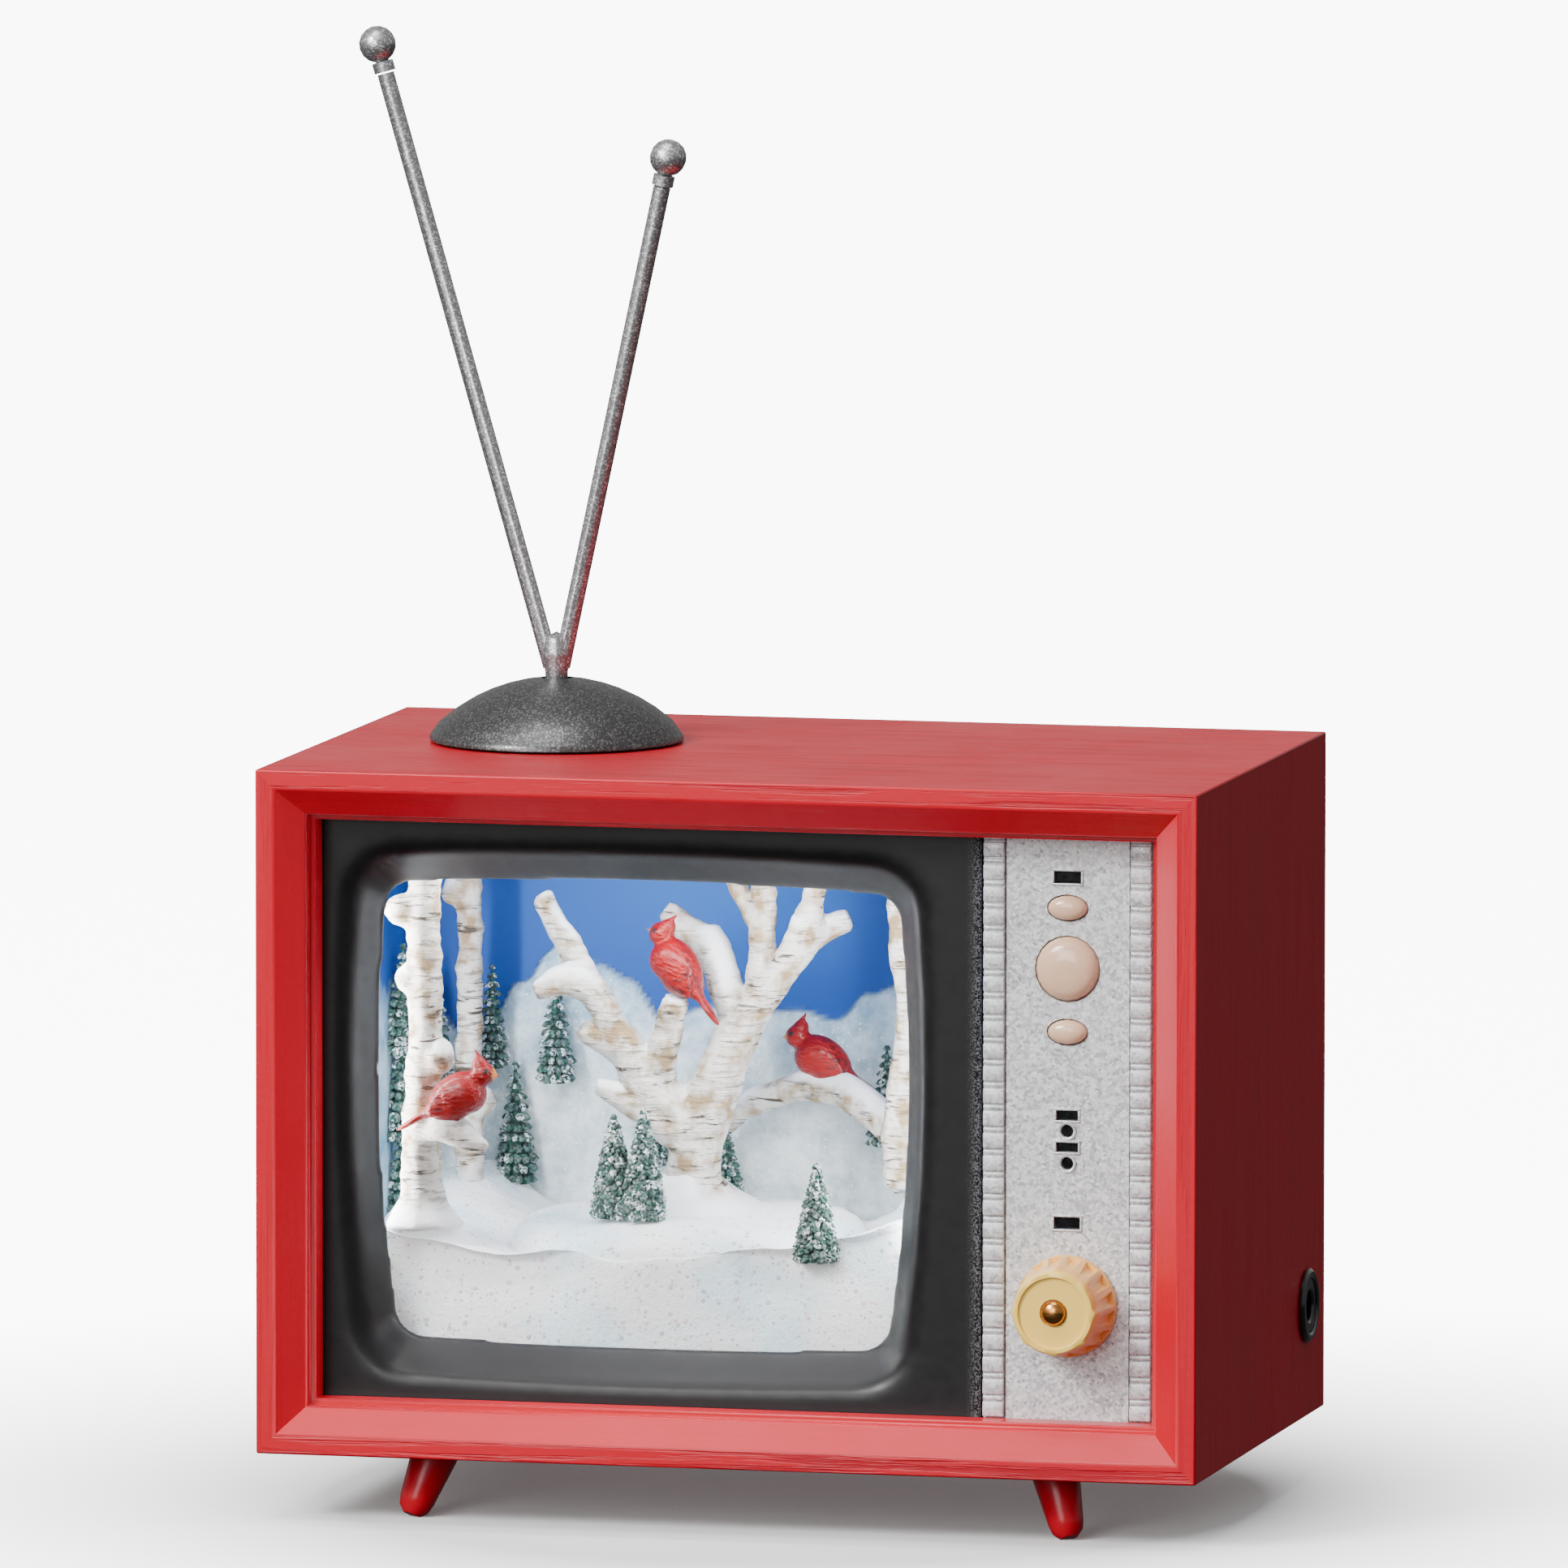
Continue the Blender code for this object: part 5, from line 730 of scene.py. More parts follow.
# ---------------------------------------------------------------- operators
def case_ring(settings):
    """The boards and the moulding as one ring, grown along the outline of its section."""
    low, high = CASE_LOW, CASE_HIGH
    slope = BOARD + settings.bevel_width
    lip = slope + settings.lip_width
    outline = (
        (0.0, low.y),
        (BOARD, low.y),
        (slope, low.y + settings.bevel_depth),
        (slope, low.y + settings.lip_depth),
        (lip, low.y + settings.lip_depth),
        (lip, low.y + FRAME_DEPTH),
        (BOARD, low.y + FRAME_DEPTH),
        (BOARD, high.y),
        (0.0, high.y),
    )
    bm = bmesh.new()
    around = ((low.x, low.z), (high.x, low.z), (high.x, high.z), (low.x, high.z))
    corners = [bm.verts.new((x, high.y, z)) for x, z in around]
    edges = [bm.edges.new((corners[i], corners[(i + 1) % 4])) for i in range(4)]
    middle = (low + high) / 2
    for inset, depth in outline:
        edges, verts = extruded(bm, edges)
        for vert in verts:
            vert.co.x = low.x + inset if vert.co.x < middle.x else high.x - inset
            vert.co.z = low.z + inset if vert.co.z < middle.z else high.z - inset
            vert.co.y = depth
    bmesh.ops.remove_doubles(bm, verts=bm.verts, dist=0.00001)
    bmesh.ops.recalc_face_normals(bm, faces=bm.faces)
    sharp = [
        edge
        for edge in bm.edges
        if edge.calc_face_angle(0.0) > math.radians(25) and edge.calc_length() > 0.02
    ]
    bmesh.ops.bevel(
        bm, geom=sharp, offset=EDGE_ROUNDING, affect="EDGES", segments=2, profile=0.5, material=-1,
        clamp_overlap=True,
    )
    return bm


class DIORAMA_OT_lacquer_cabinet(bpy.types.Operator):
    """Build the cabinet's ring of boards and moulding, and lacquer it and the legs"""

    bl_idname = "diorama.lacquer_cabinet"
    bl_label = "Lacquer cabinet"

    def execute(self, context):
        settings = context.scene.diorama_cabinet
        red = tuple(settings.lacquer)
        socket_low, socket_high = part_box("dc_jack_body")
        bore = bmesh.new()
        at = (socket_low + socket_high) / 2
        at.x = CASE_HIGH.x
        bmesh.ops.create_cone(
            bore, cap_ends=True, segments=32, radius1=SOCKET_BORE, radius2=SOCKET_BORE, depth=4 * BOARD,
            matrix=Matrix.Translation(at) @ Matrix.Rotation(math.radians(90), 4, "Y"),
        )
        bm = pierced(case_ring(settings), bore)
        upright = bm.loops.layers.float.new("upright")
        grain = bm.loops.layers.float.new("grain")
        for face in bm.faces:
            place = face.calc_center_median()
            across = min(place.x - CASE_LOW.x, CASE_HIGH.x - place.x)
            down = min(place.z - CASE_LOW.z, CASE_HIGH.z - place.z)
            outer = min(across, down) < BOARD
            for loop in face.loops:
                loop[upright] = 1.0 if across < down else 0.0
                loop[grain] = (0.35 if across < down else 0.9) if outer else 0.10
            face.smooth = face.calc_area() < 0.00006
        names = [f"cabinet_{side}" for side in ("top", "bottom", "left", "right")]
        wood = lacquered_wood(red, settings.grain_depth)
        settle(
            "cabinet_case", bm, "cabinet", "red_board", wood, "front_frame", *names, smooth=False
        )
        legs = [f"leg_{end}_{side}" for end in ("front", "back") for side in ("left", "right")]
        smooth_casting(lacquered_moulding("lacquer_legs", red), *legs)
        return {"FINISHED"}


class DIORAMA_OT_finish_screen(bpy.types.Operator):
    """Form the mask with its soft funnel, and finish the clear window"""

    bl_idname = "diorama.finish_screen"
    bl_label = "Finish screen"

    def execute(self, context):
        settings = context.scene.diorama_cabinet
        mask = remeshed(merged_copy("screen_mask"), MASK_FACET, 9)
        material = mask_plastic(tuple(settings.mask), tuple(settings.silver))
        settle("screen_mask_formed", mask, "cabinet", "black_mask", material, "screen_mask")
        paint(clear_window(), "screen_window")
        return {"FINISHED"}


class DIORAMA_OT_finish_controls(bpy.types.Operator):
    """Finish the control panel, its strips, buttons and knob"""

    bl_idname = "diorama.finish_controls"
    bl_label = "Finish controls"

    def execute(self, context):
        settings = context.scene.diorama_cabinet
        silver = tuple(settings.silver)
        paint(sprayed_silver("panel_silver", silver), "control_panel")
        strip = sprayed_silver("strip_silver", shade(silver, 1.15), 0.4)
        for name in ("trim_strip_left", "trim_strip_right"):
            bm = ribbed_strip(*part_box(name), settings.strip_pitch)
            settle(name + "_blocks", bm, "cabinet", "silver_paint", strip, name, smooth=False)
        paint(moulded_gloss("insert_black", (0.004, 0.004, 0.005), 0.12), "indicator_insert")
        settle("slot_bezels", bezels(), "cabinet", "silver_paint", strip, smooth=False)
        beige = moulded_gloss("button_beige", tuple(settings.button))
        smooth_casting(beige, "round_button", "upper_oval_button", "lower_oval_button")
        smooth_casting(knob_cream(tuple(settings.knob)), "volume_knob")
        smooth_casting(plated("hub_bronze", (0.55, 0.24, 0.07), 0.25), "knob_hub")
        return {"FINISHED"}


def bezels():
    """Low raised rims round the slots and the lamps of the panel."""
    button_low, button_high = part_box("round_button")
    middle = (button_low + button_high) / 2
    face = PANEL_BOX[0].y
    rim = RIM_WIDTH
    bm = bmesh.new()
    for up, wide, tall in SLOTS:
        x, z = wide / 2, tall / 2
        for low, high in (
            ((-x - rim, z), (x + rim, z + rim)),
            ((-x - rim, -z - rim), (x + rim, -z)),
            ((-x - rim, -z), (-x, z)),
            ((x, -z), (x + rim, z)),
        ):
            low = Vector((middle.x + low[0], face - 0.0003, middle.z + up + low[1]))
            high = Vector((middle.x + high[0], face + 0.0006, middle.z + up + high[1]))
            block(bm, low, high, 0.00014)
    for up in LAMPS:
        place = Matrix.Translation((middle.x, face + 0.0001, middle.z + up))
        place = place @ Matrix.Rotation(math.radians(90), 4, "X")
        start = bmesh.ops.create_circle(bm, segments=24, radius=LAMP_RADIUS, matrix=place)["verts"]
        edges = list({edge for vert in start for edge in vert.link_edges})
        centre = Vector((middle.x, 0, middle.z + up))
        for outward, depth in LAMP_RIM:
            edges, verts = extruded(bm, edges)
            for vert in verts:
                away = Vector((vert.co.x, 0, vert.co.z)) - centre
                vert.co += away.normalized() * outward + Vector((0, depth, 0))
    bmesh.ops.remove_doubles(bm, verts=bm.verts, dist=0.00002)
    bmesh.ops.recalc_face_normals(bm, faces=bm.faces)
    return crease(bm, BLOCK_ANGLE)


def ribbed_strip(low, high, pitch):
    """A strip of flat blocks with a narrow bead between each pair."""
    bm = bmesh.new()
    proud = (high.y - low.y) * 0.45
    block(bm, Vector((low.x, low.y + proud, low.z)), high, 0.0001)
    count = round((high.z - low.z) / pitch)
    step = (high.z - low.z) / count
    for k in range(count):
        foot = low.z + k * step
        back = low.y + proud * 1.3
        for front, start, end, rounding in ((0.0, 0.03, 0.70, 0.00022), (0.25, 0.75, 0.97, 0.0003)):
            near = Vector((low.x, low.y + proud * front, foot + step * start))
            block(bm, near, Vector((high.x, back, foot + step * end)), rounding)
    return crease(bm, BLOCK_ANGLE)


class DIORAMA_OT_finish_antenna(bpy.types.Operator):
    """Finish the antenna and its dome"""

    bl_idname = "diorama.finish_antenna"
    bl_label = "Finish antenna"

    def execute(self, context):
        rods = glitter_silver("rod_glitter", (0.42, 0.42, 0.43), 0.85)
        smooth_casting(rods, "antenna_mast", "antenna_ball_left", "antenna_ball_right")
        # The dome takes the rods' glitter silver painted far darker (0.10 against 0.42): painted shade on
        # the whole dome.
        smooth_casting(glitter_silver("shaded_dome_glitter", (0.10, 0.10, 0.10), 0.8), "antenna_dome")
        return {"FINISHED"}


class DIORAMA_OT_finish_workings(bpy.types.Operator):
    """Finish the back, the battery box, the drive, the boards and the socket"""

    bl_idname = "diorama.finish_workings"
    bl_label = "Finish workings"

    def execute(self, context):
        dull = matt_plastic("back_black", (0.018, 0.018, 0.019))
        paint(dull, "back_cover", "battery_door", "battery_box")
        steel = plated("bright_steel", (0.62, 0.62, 0.62), 0.28)
        contacts = [f"contact_{end}_{side}" for end in ("top", "bottom") for side in "ab"]
        paint(steel, "potentiometer_body", "potentiometer_shaft", "gear_motor", "speaker_basket", *contacts)
        paint(plated("turned_brass", (0.72, 0.50, 0.20), 0.25), "disc_bush")
        paint(circuit_board(), "switch_board", "main_board", "led_board")
        cells = [f"battery_cell_{i}" for i in (1, 2, 3)]
        paint(moulded_gloss("cell_sleeve", (0.07, 0.12, 0.19), 0.25), *cells)
        paint(matt_plastic("cone_paper", (0.04, 0.04, 0.04), 0.8), "speaker_cone")
        paint(wall_paint(tuple(context.scene.diorama_winter.sky)), "scene_tub")
        white = matt_plastic("drive_white", (0.72, 0.72, 0.70), 0.4)
        paint(white, "mechanism_deck", "turntable_gear", "motor_pinion")
        black = moulded_gloss("socket_black", (0.008, 0.008, 0.009), 0.16)
        smooth_casting(black, "dc_jack_nut", "dc_jack_body")
        return {"FINISHED"}


class DIORAMA_OT_spread_snow(bpy.types.Operator):
    """Cast the fixed snow and the turning snow disc"""

    bl_idname = "diorama.spread_snow"
    bl_label = "Spread snow"

    def execute(self, context):
        winter = context.scene.diorama_winter
        snow = glitter_snow(tuple(winter.snow))
        for node in ("snow_bank", "snow_disc"):
            bm = remeshed(merged_copy(node), winter.casting_facet * 1.3, 6)
            for vert in bm.verts:
                up = stretch(vert.normal.z, 0.2, 0.8)
                lift = 0.0008 * noise.noise(vert.co * 90.0) + 0.00035 * noise.noise(vert.co * 380.0)
                if node == "snow_bank":
                    side = stretch(vert.co.x, DISC_BOX[1].x + 0.001, DISC_BOX[1].x + 0.014)
                    lift += 0.013 * side * stretch(vert.co.y, -0.004, 0.022)
                    low = BANK_BOX[0]
                    ridge = stretch(vert.co.y, low.y, low.y + 0.0011)
                    ridge *= stretch(vert.co.y, -0.022, -0.029)
                    ridge *= stretch(vert.co.z, low.z + 0.010, low.z + 0.014)
                    lift += max(0.0, height_along(SNOW_CREST, vert.co.x) - vert.co.z) * ridge
                    up = max(up, ridge)
                vert.co.z += up * lift
                if node == "snow_bank":
                    slope_front(vert)
            if node == "snow_bank":
                relaxed(bm, [vert for vert in bm.verts if vert.co.y < -0.018], 5)
            settle(node + "_cast", bm, BODY_OF[node], "snow", snow, node)
        return {"FINISHED"}


def slope_front(vert):
    """Leans the front of the bank back in soft lumps, and keeps it clear of the turning disc."""
    middle = (DISC_BOX[0] + DISC_BOX[1]) / 2
    reach = (DISC_BOX[1].x - DISC_BOX[0].x) / 2 + 0.0008
    aside = abs(vert.co.x - middle.x)
    edge = middle.y - math.sqrt(max(0.0, reach**2 - aside**2))
    room = max(0.0005, min(0.0070, edge - BANK_BOX[0].y))
    front = stretch(vert.co.y, BANK_BOX[0].y + 0.004, BANK_BOX[0].y + 0.001)
    high = stretch(vert.co.z, BANK_BOX[0].z + 0.008, height_along(SNOW_CREST, vert.co.x) + 0.001)
    lumps = 0.5 + 0.5 * noise.noise(Vector((vert.co.x * 95.0, vert.co.z * 140.0, 3.0)))
    vert.co.y += front * room * (0.62 * high**2 + 0.26 * lumps)


class DIORAMA_OT_grow_birches(bpy.types.Operator):
    """Cast the birches with snow lying on their boughs"""

    bl_idname = "diorama.grow_birches"
    bl_label = "Grow birches"

    def execute(self, context):
        winter = context.scene.diorama_winter
        bark = birch_bark(tuple(winter.bark), tuple(winter.snow))
        for node in ("birch_tree", "left_birch", "right_arch"):
            bm = remeshed(merged_copy(node), winter.casting_facet, 4)
            weather(bm, winter)
            if node != "right_arch":
                spread_root(bm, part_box(node)[0].z, 0.42 if node == "birch_tree" else 0.60)
            settle(node + "_cast", bm, BODY_OF[node], "birch", bark, node)
        low, high = BACKDROP_BOX
        x, y = FAR_BIRCH[0], low.y - FAR_BIRCH[1]
        trunk = bmesh.new()
        bmesh.ops.create_cone(
            trunk, cap_ends=True, segments=20, radius1=FAR_BIRCH_RADII[0], radius2=FAR_BIRCH_RADII[1],
            depth=high.z - low.z - 0.020, matrix=Matrix.Translation((x, y, (low.z + high.z) / 2 + 0.009)),
        )
        for height, aside in FAR_BIRCH_KNOTS:
            place = Matrix.Translation((x + aside, y, height))
            bmesh.ops.create_icosphere(trunk, subdivisions=2, radius=KNOT_RADIUS, matrix=place)
        bm = remeshed(trunk, winter.casting_facet, 4)
        weather(bm, winter)
        settle("distant_birch", bm, "cabinet", "birch", bark)
        return {"FINISHED"}


def spread_root(bm, foot, spread):
    """Runs the root of a trunk out into the snow, and covers it."""
    layer = bm.verts.layers.float["snow"]
    low = [vert.co for vert in bm.verts if vert.co.z < foot + 0.003]
    middle = sum(low, Vector()) / len(low)
    for vert in bm.verts:
        near = stretch(vert.co.z, foot + 0.0090, foot + 0.0006)
        vert.co.x = middle.x + (vert.co.x - middle.x) * (1 + spread * near**3)
        vert.co.y = middle.y + (vert.co.y - middle.y) * (1 + spread * near**3)
        vert.co.z -= 0.0020 * near**2
        vert[layer] = max(vert[layer], stretch(near, 0.50, 0.9))


def weather(bm, winter):
    """Peels the bark in rings, lumps the boughs, and lays snow on them."""
    roughen(bm, 0.0006, 190.0)
    bm.normal_update()
    for vert in bm.verts:
        ring = noise.noise(Vector((vert.co.x * 90.0, vert.co.y * 90.0, vert.co.z * 620.0)))
        vert.co += vert.normal * (0.00035 * ring * (1.0 - abs(vert.normal.z)))
    bm.normal_update()
    lay_snow(bm, winter.snow_cap)


class DIORAMA_OT_plant_firs(bpy.types.Operator):
    """Build the frosted firs from tiers of small bristle clumps"""

    bl_idname = "diorama.plant_firs"
    bl_label = "Plant firs"

    def execute(self, context):
        winter = context.scene.diorama_winter
        needles = fir_needles(tuple(winter.needles))
        for node, count in (("small_firs", 2), ("front_fir", 1)):
            low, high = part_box(node)
            choose = random.Random(winter.seed + count)
            bm = bmesh.new()
            layer = bm.verts.layers.float.new("frost")
            for k in range(count):
                wide = (high.x - low.x) / (1.62 if count == 2 else 1.0)
                x = low.x + wide / 2 if k == 0 else high.x - wide / 2
                y = (low.y + high.y) / 2
                if count > 1:
                    y = high.y - wide / 2 if k == 0 else low.y + wide / 2
                tall = (high.z - low.z) * (0.93 + 0.07 * k)
                radius = wide * (0.62 - 0.08 * count)
                bristle(bm, layer, choose, Vector((x, y, low.z)), tall, radius, 22)
            settle(node + "_bristle", bm, BODY_OF[node], "fir", needles, node, smooth=False)
        choose = random.Random(winter.seed)
        bm = bmesh.new()
        layer = bm.verts.layers.float.new("frost")
        for x, y, foot, tall, radius in DISTANT_FIRS:
            bristle(bm, layer, choose, Vector((x, y, foot)), tall, radius, 12)
        settle("distant_firs", bm, "cabinet", "fir", needles, smooth=False)
        return {"FINISHED"}


def bristle(bm, layer, choose, foot, height, radius, rings):
    """One fir: rings of leaning clumps, some of them frosted, round a thin core."""
    core = bmesh.ops.create_cone(
        bm, cap_ends=True, segments=10, radius1=radius * 0.62, radius2=radius * 0.05, depth=height * 0.96
    )["verts"]
    bmesh.ops.translate(bm, vec=foot + Vector((0, 0, height * 0.48)), verts=core)
    for ring in range(rings):
        share = ring / (rings - 1)
        reach = radius * (1.0 - 0.95 * share**1.35) * 0.82
        clumps = max(4, round(rings * (1 - share) + 4))
        for k in range(clumps):
            angle = 2 * math.pi * (k + choose.random() * 0.7) / clumps + ring * 0.7
            out = Vector((math.cos(angle), math.sin(angle), 0))
            size = radius * (0.19 + 0.09 * choose.random()) * (1.0 - 0.35 * share)
            clump = bmesh.ops.create_icosphere(bm, subdivisions=1, radius=size)["verts"]
            bmesh.ops.scale(bm, vec=(1.35, 0.9, 0.8), verts=clump)
            droop = Matrix.Rotation(math.radians(25 + 20 * choose.random()), 3, "Y")
            bmesh.ops.rotate(bm, matrix=Matrix.Rotation(angle, 3, "Z") @ droop, verts=clump)
            at = foot + out * (reach * (0.80 + 0.22 * choose.random()))
            at += Vector((0, 0, height * (0.05 + 0.91 * share)))
            bmesh.ops.translate(bm, vec=at, verts=clump)
            frosted = choose.random() < 0.36
            for vert in clump:
                vert[layer] = (0.75 if frosted else 0.0) + 0.25 * choose.random()


def bird_cast():
    """A perched bird along X, one unit long: its parts melted into one casting."""
    bm = bmesh.new()

    def shaped(verts, centre, size, turn):
        bmesh.ops.scale(bm, vec=size, verts=verts)
        bmesh.ops.rotate(bm, matrix=Matrix.Rotation(math.radians(turn), 3, "Y"), verts=verts)
        bmesh.ops.translate(bm, vec=centre, verts=verts)

    def lump(centre, size, turn=0.0):
        made = bmesh.ops.create_icosphere(bm, subdivisions=3, radius=1.0)
        shaped(made["verts"], centre, size, turn)

    def spike(centre, size, turn):
        made = bmesh.ops.create_cone(
            bm, cap_ends=True, segments=16, radius1=1.0, radius2=0.0, depth=1.0
        )
        shaped(made["verts"], centre, size, turn)

    # breast and back, head, crest, beak, tail
    lump((0.04, 0, 0.03), (0.28, 0.175, 0.190), -38)
    lump((0.13, 0, 0.07), (0.18, 0.170, 0.190), -40)
    lump((0.285, 0, 0.235), (0.110, 0.100, 0.105))
    spike((0.245, 0, 0.375), (0.062, 0.050, 0.26), -28)
    lump((0.26, 0, 0.30), (0.075, 0.07, 0.09), -30)
    spike((0.395, 0, 0.225), (0.042, 0.040, 0.12), 100)
    lump((-0.30, 0, -0.165), (0.22, 0.055, 0.030), -32)
    lump((-0.15, 0, -0.075), (0.14, 0.085, 0.060), -34)
    # wings and feet
    for side in (-1, 1):
        lump((-0.03, side * 0.115, 0.01), (0.21, 0.045, 0.095), -42)
        lump((0.06, side * 0.035, -0.15), (0.022, 0.018, 0.050))
    return remeshed(bm, BIRD_FACET, 2)


class DIORAMA_OT_perch_birds(bpy.types.Operator):
    """Cast the red birds on their perches"""

    bl_idname = "diorama.perch_birds"
    bl_label = "Perch birds"

    def execute(self, context):
        winter = context.scene.diorama_winter
        feathers = plumage(tuple(winter.plumage))
        for node, heading, pitch in (
            ("left_cardinal", 0.0, 0.0),
            ("right_cardinal", 180.0, 0.0),
            ("top_cardinal", 166.0, 20.0),
        ):
            low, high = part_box(node)
            bm = bird_cast()
            local = bm.verts.layers.float_vector.new("bird")
            beak = bm.verts.layers.float.new("beak")
            face = bm.verts.layers.float.new("face")
            for vert in bm.verts:
                place = vert.co.copy()
                vert[local] = place
                vert[beak] = stretch(place.x, 0.365, 0.385) * stretch(place.z, 0.34, 0.30)
                eye = min((place - Vector((0.325, side * 0.085, 0.265))).length for side in (-1, 1))
                ring = (place - Vector((0.385, 0, 0.225))).length
                vert[face] = max(stretch(eye, 0.030, 0.018), stretch(ring, 0.085, 0.060))
            turn = Matrix.Rotation(math.radians(heading), 3, "Z")
            turn = turn @ Matrix.Rotation(math.radians(-pitch), 3, "Y")
            bmesh.ops.rotate(bm, matrix=turn, verts=bm.verts)
            own = [Vector([f(v.co[i] for v in bm.verts) for i in range(3)]) for f in (min, max)]
            size = 1.05 * (high.z - low.z) / (own[1].z - own[0].z)
            bmesh.ops.scale(bm, vec=(size, size, size), verts=bm.verts)
            perch = (low + high - size * (own[0] + own[1])) / 2 + Vector((0, 0, -0.0007))
            bmesh.ops.translate(bm, vec=perch, verts=bm.verts)
            settle(node + "_cast", bm, BODY_OF[node], "cardinal", feathers, node)
        return {"FINISHED"}


class DIORAMA_OT_hang_backdrop(bpy.types.Operator):
    """Refine the backdrop and paint its sky and hills"""

    bl_idname = "diorama.hang_backdrop"
    bl_label = "Hang backdrop"

    def execute(self, context):
        winter = context.scene.diorama_winter
        low, high = BACKDROP_BOX
        bm = bmesh.new()
        bmesh.ops.create_grid(bm, x_segments=150, y_segments=140, size=0.5)
        bmesh.ops.rotate(bm, matrix=Matrix.Rotation(math.radians(90), 3, "X"), verts=bm.verts)
        bmesh.ops.scale(bm, vec=(high.x - low.x, 1.0, high.z - low.z), verts=bm.verts)
        middle = Vector(((low.x + high.x) / 2, high.y - 0.0016, (low.z + high.z) / 2))
        bmesh.ops.translate(bm, vec=middle, verts=bm.verts)
        layer = bm.verts.layers.float.new("hill")
        for vert in bm.verts:
            crest = height_along(HILL_CREST, vert.co.x) + 0.0012 * noise.noise(vert.co * 160.0)
            rounding = math.sqrt(stretch(crest - vert.co.z, 0.0, 0.012))
            vert[layer] = stretch(crest - vert.co.z, -0.0004, 0.0008)
            lumps = noise.noise(vert.co * 70.0) + 0.5 * noise.noise(vert.co * 210.0)
            vert.co.y -= rounding * (0.0022 + 0.0011 * lumps)
        bmesh.ops.solidify(bm, geom=bm.faces[:], thickness=0.0012)
        bmesh.ops.recalc_face_normals(bm, faces=bm.faces)
        sky = painted_sky(tuple(winter.sky))
        settle("painted_backdrop", bm, "cabinet", "snow", sky, "scene_backdrop")
        return {"FINISHED"}


class DIORAMA_OT_light_stage(bpy.types.Operator):
    """Lay the floor, place the lights and the camera"""

    bl_idname = "diorama.light_stage"
    bl_label = "Light stage"

    def execute(self, context):
        studio = context.scene.diorama_studio
        lay_floor(tuple(studio.floor))
        set_world()
        for name, place, aim, size, power in (
            ("key_softbox", (-1.2, -1.7, 1.45), (0, 0, 0.08), 0.8, 78.0),
            ("front_softbox", (-0.45, -2.5, 0.7), (0, 0, 0.08), 1.1, 26.0),
            ("top_softbox", (-0.15, -0.5, 1.9), (0, 0, 0.1), 0.9, 18.0),
        ):
            add_softbox(name, place, aim, size, power)
        lamp_low, lamp_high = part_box("led_board")
        middle = (lamp_low + lamp_high) / 2
        under = (middle.x, middle.y, lamp_low.z - 0.001)
        light_scene("scene_lamp", under, (38, 0, 0), (0.080, 0.012), 0.10)
        window_low, window_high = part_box("screen_window")
        for name, x, turn in (
            ("left_lamp", window_low.x - 0.001, -50),
            ("right_lamp", window_high.x - 0.004, 50),
        ):
            place = (x, window_high.y + 0.004, (window_low.z + window_high.z) / 2 + 0.012)
            light_scene(name, place, (90, 0, turn), (0.006, 0.070), 0.09)
        place_camera(studio)
        return {"FINISHED"}


def light_scene(name, place, turn, size, power):
    """A small lamp inside the case, hidden behind the mask."""
    lamp = bpy.data.lights.new(name, "AREA")
    lamp.shape = "RECTANGLE"
    lamp.size, lamp.size_y = size
    lamp.energy = power
    holder = bpy.data.objects.new(name, lamp)
    bpy.context.scene.collection.objects.link(holder)
    holder.location = place
    holder.rotation_euler = [math.radians(angle) for angle in turn]


def lay_floor(base):
    """A pale floor that sweeps up behind; it glows dimly round the object and brightly further off, a
    painted shadow under it.
    """
    recipe = Recipe("pale_floor", base, 0.75)
    away = recipe.nodes.new("ShaderNodeVectorMath")
    away.operation = "LENGTH"
    recipe.links.new(recipe.place, away.inputs[0])
    # Glow runs from 0.10 near the object to 9.0 further out: the dim middle is a painted soft shadow.
    glow_with_painted_shadow = recipe.ramp(away.outputs["Value"], 0.09, 0.30, 0.10, 9.0)
    recipe.put(recipe.shader.inputs["Emission Strength"], glow_with_painted_shadow)
    recipe.shader.inputs["Emission Color"].default_value = (1.0, 1.0, 1.0, 1.0)
    bm = bmesh.new()
    near = [bm.verts.new((x, -6.0, 0)) for x in (-6.0, 6.0)]
    edge = [bm.edges.new(near)]
    bend = [math.radians(9 * i) for i in range(11)]
    curve = [(0.0, 0.35 * math.cos(a), 0.35 * (0.2 + math.sin(a))) for a in bend]
    for step in [(0.0, 9.0, 0.0), *curve, (0.0, 0.0, 4.0)]:
        edge, verts = extruded(bm, edge)
        bmesh.ops.translate(bm, vec=step, verts=verts)
    floor = new_piece("studio_floor", bm)
    floor.data.materials.append(recipe.material)
    floor.data.shade_smooth()
    floor.visible_diffuse = False
    floor.visible_glossy = False


def set_world():
    """White air above the horizon, and little light from below it."""
    world = bpy.data.worlds.new("studio_air")
    bpy.context.scene.world = world
    world.use_nodes = True
    nodes, links = world.node_tree.nodes, world.node_tree.links
    direction = nodes.new("ShaderNodeTexCoord")
    split = nodes.new("ShaderNodeSeparateXYZ")
    fade = nodes.new("ShaderNodeMapRange")
    links.new(direction.outputs["Generated"], split.inputs[0])
    links.new(split.outputs["Z"], fade.inputs["Value"])
    for socket, value in (("From Min", -0.05), ("From Max", 0.06), ("To Min", 0.06), ("To Max", 0.42)):
        fade.inputs[socket].default_value = value
    nodes["Background"].inputs["Color"].default_value = (1.0, 1.0, 1.0, 1.0)
    links.new(fade.outputs["Result"], nodes["Background"].inputs["Strength"])


def add_softbox(name, place, aim, size, power):
    """A square soft light aimed at a point."""
    light = bpy.data.lights.new(name, "AREA")
    light.shape = "SQUARE"
    light.size = size
    light.energy = power
    holder = bpy.data.objects.new(name, light)
    bpy.context.scene.collection.objects.link(holder)
    holder.location = place
    holder.rotation_mode = "QUATERNION"
    holder.rotation_quaternion = (Vector(aim) - Vector(place)).to_track_quat("-Z", "Y")


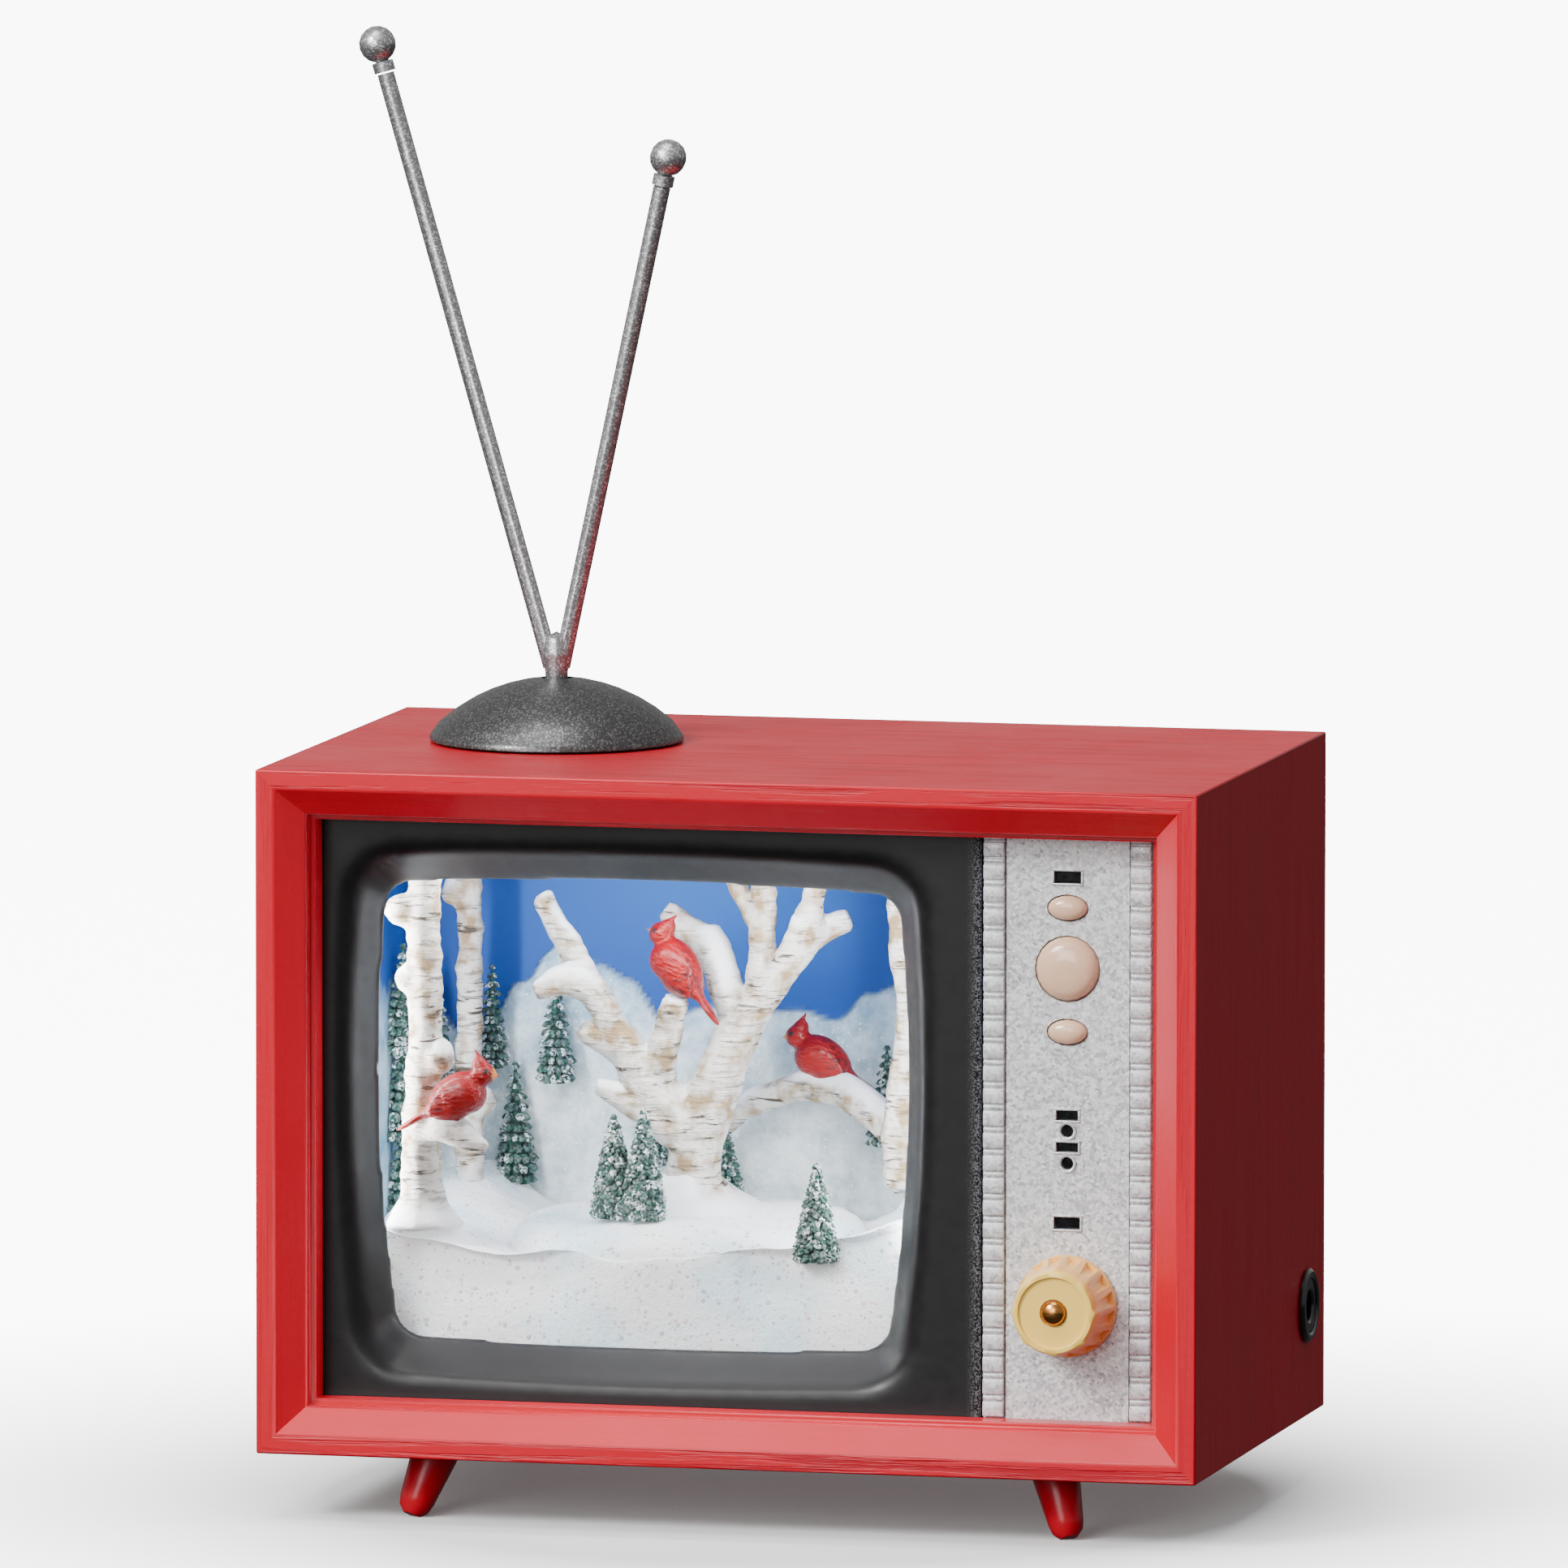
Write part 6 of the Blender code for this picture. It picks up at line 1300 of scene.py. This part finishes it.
def place_camera(studio):
    """A long lens aimed at the target from its angles."""
    data = bpy.data.cameras.new("studio_camera")
    data.lens = studio.lens
    data.sensor_width = 36.0
    data.clip_start = 0.1
    data.clip_end = 40.0
    camera = bpy.data.objects.new("studio_camera", data)
    bpy.context.scene.collection.objects.link(camera)
    a, e = studio.azimuth, studio.elevation
    back = Vector((math.sin(a) * math.cos(e), -math.cos(a) * math.cos(e), math.sin(e)))
    camera.location = Vector(studio.target) + back * studio.distance
    camera.rotation_mode = "QUATERNION"
    aimed = (-back).to_track_quat("-Z", "Y")
    camera.rotation_quaternion = aimed @ Matrix.Rotation(studio.roll, 3, "Z").to_quaternion()
    bpy.context.scene.camera = camera


class DIORAMA_PT_finish(bpy.types.Panel):
    """Lists every step of the finish"""

    bl_idname = "DIORAMA_PT_finish"
    bl_label = "Television diorama"
    bl_space_type = "VIEW_3D"
    bl_region_type = "UI"
    bl_category = "Diorama"

    def draw(self, context):
        for group in SETTINGS:
            settings = getattr(context.scene, group)
            box = self.layout.box()
            for key in settings.bl_rna.properties.keys():
                if key not in ("rna_type", "name"):
                    box.prop(settings, key)
        for step in STEPS:
            self.layout.operator(step.bl_idname)


STEPS = (
    DIORAMA_OT_lacquer_cabinet,
    DIORAMA_OT_finish_screen,
    DIORAMA_OT_finish_controls,
    DIORAMA_OT_finish_antenna,
    DIORAMA_OT_finish_workings,
    DIORAMA_OT_hang_backdrop,
    DIORAMA_OT_spread_snow,
    DIORAMA_OT_grow_birches,
    DIORAMA_OT_plant_firs,
    DIORAMA_OT_perch_birds,
    DIORAMA_OT_light_stage,
)
SETTINGS = {
    "diorama_cabinet": CabinetSettings,
    "diorama_winter": WinterSettings,
    "diorama_studio": StudioSettings,
}


def register():
    for group in SETTINGS.values():
        bpy.utils.register_class(group)
    for step in STEPS:
        bpy.utils.register_class(step)
    bpy.utils.register_class(DIORAMA_PT_finish)
    for key, group in SETTINGS.items():
        setattr(bpy.types.Scene, key, PointerProperty(type=group))


def unregister():
    for key in SETTINGS:
        delattr(bpy.types.Scene, key)
    bpy.utils.unregister_class(DIORAMA_PT_finish)
    for step in reversed(STEPS):
        bpy.utils.unregister_class(step)
    for group in reversed(list(SETTINGS.values())):
        bpy.utils.unregister_class(group)


def main():
    register()
    for step in STEPS:
        group, call = step.bl_idname.split(".")
        getattr(getattr(bpy.ops, group), call)()


if __name__ == "__main__":
    main()
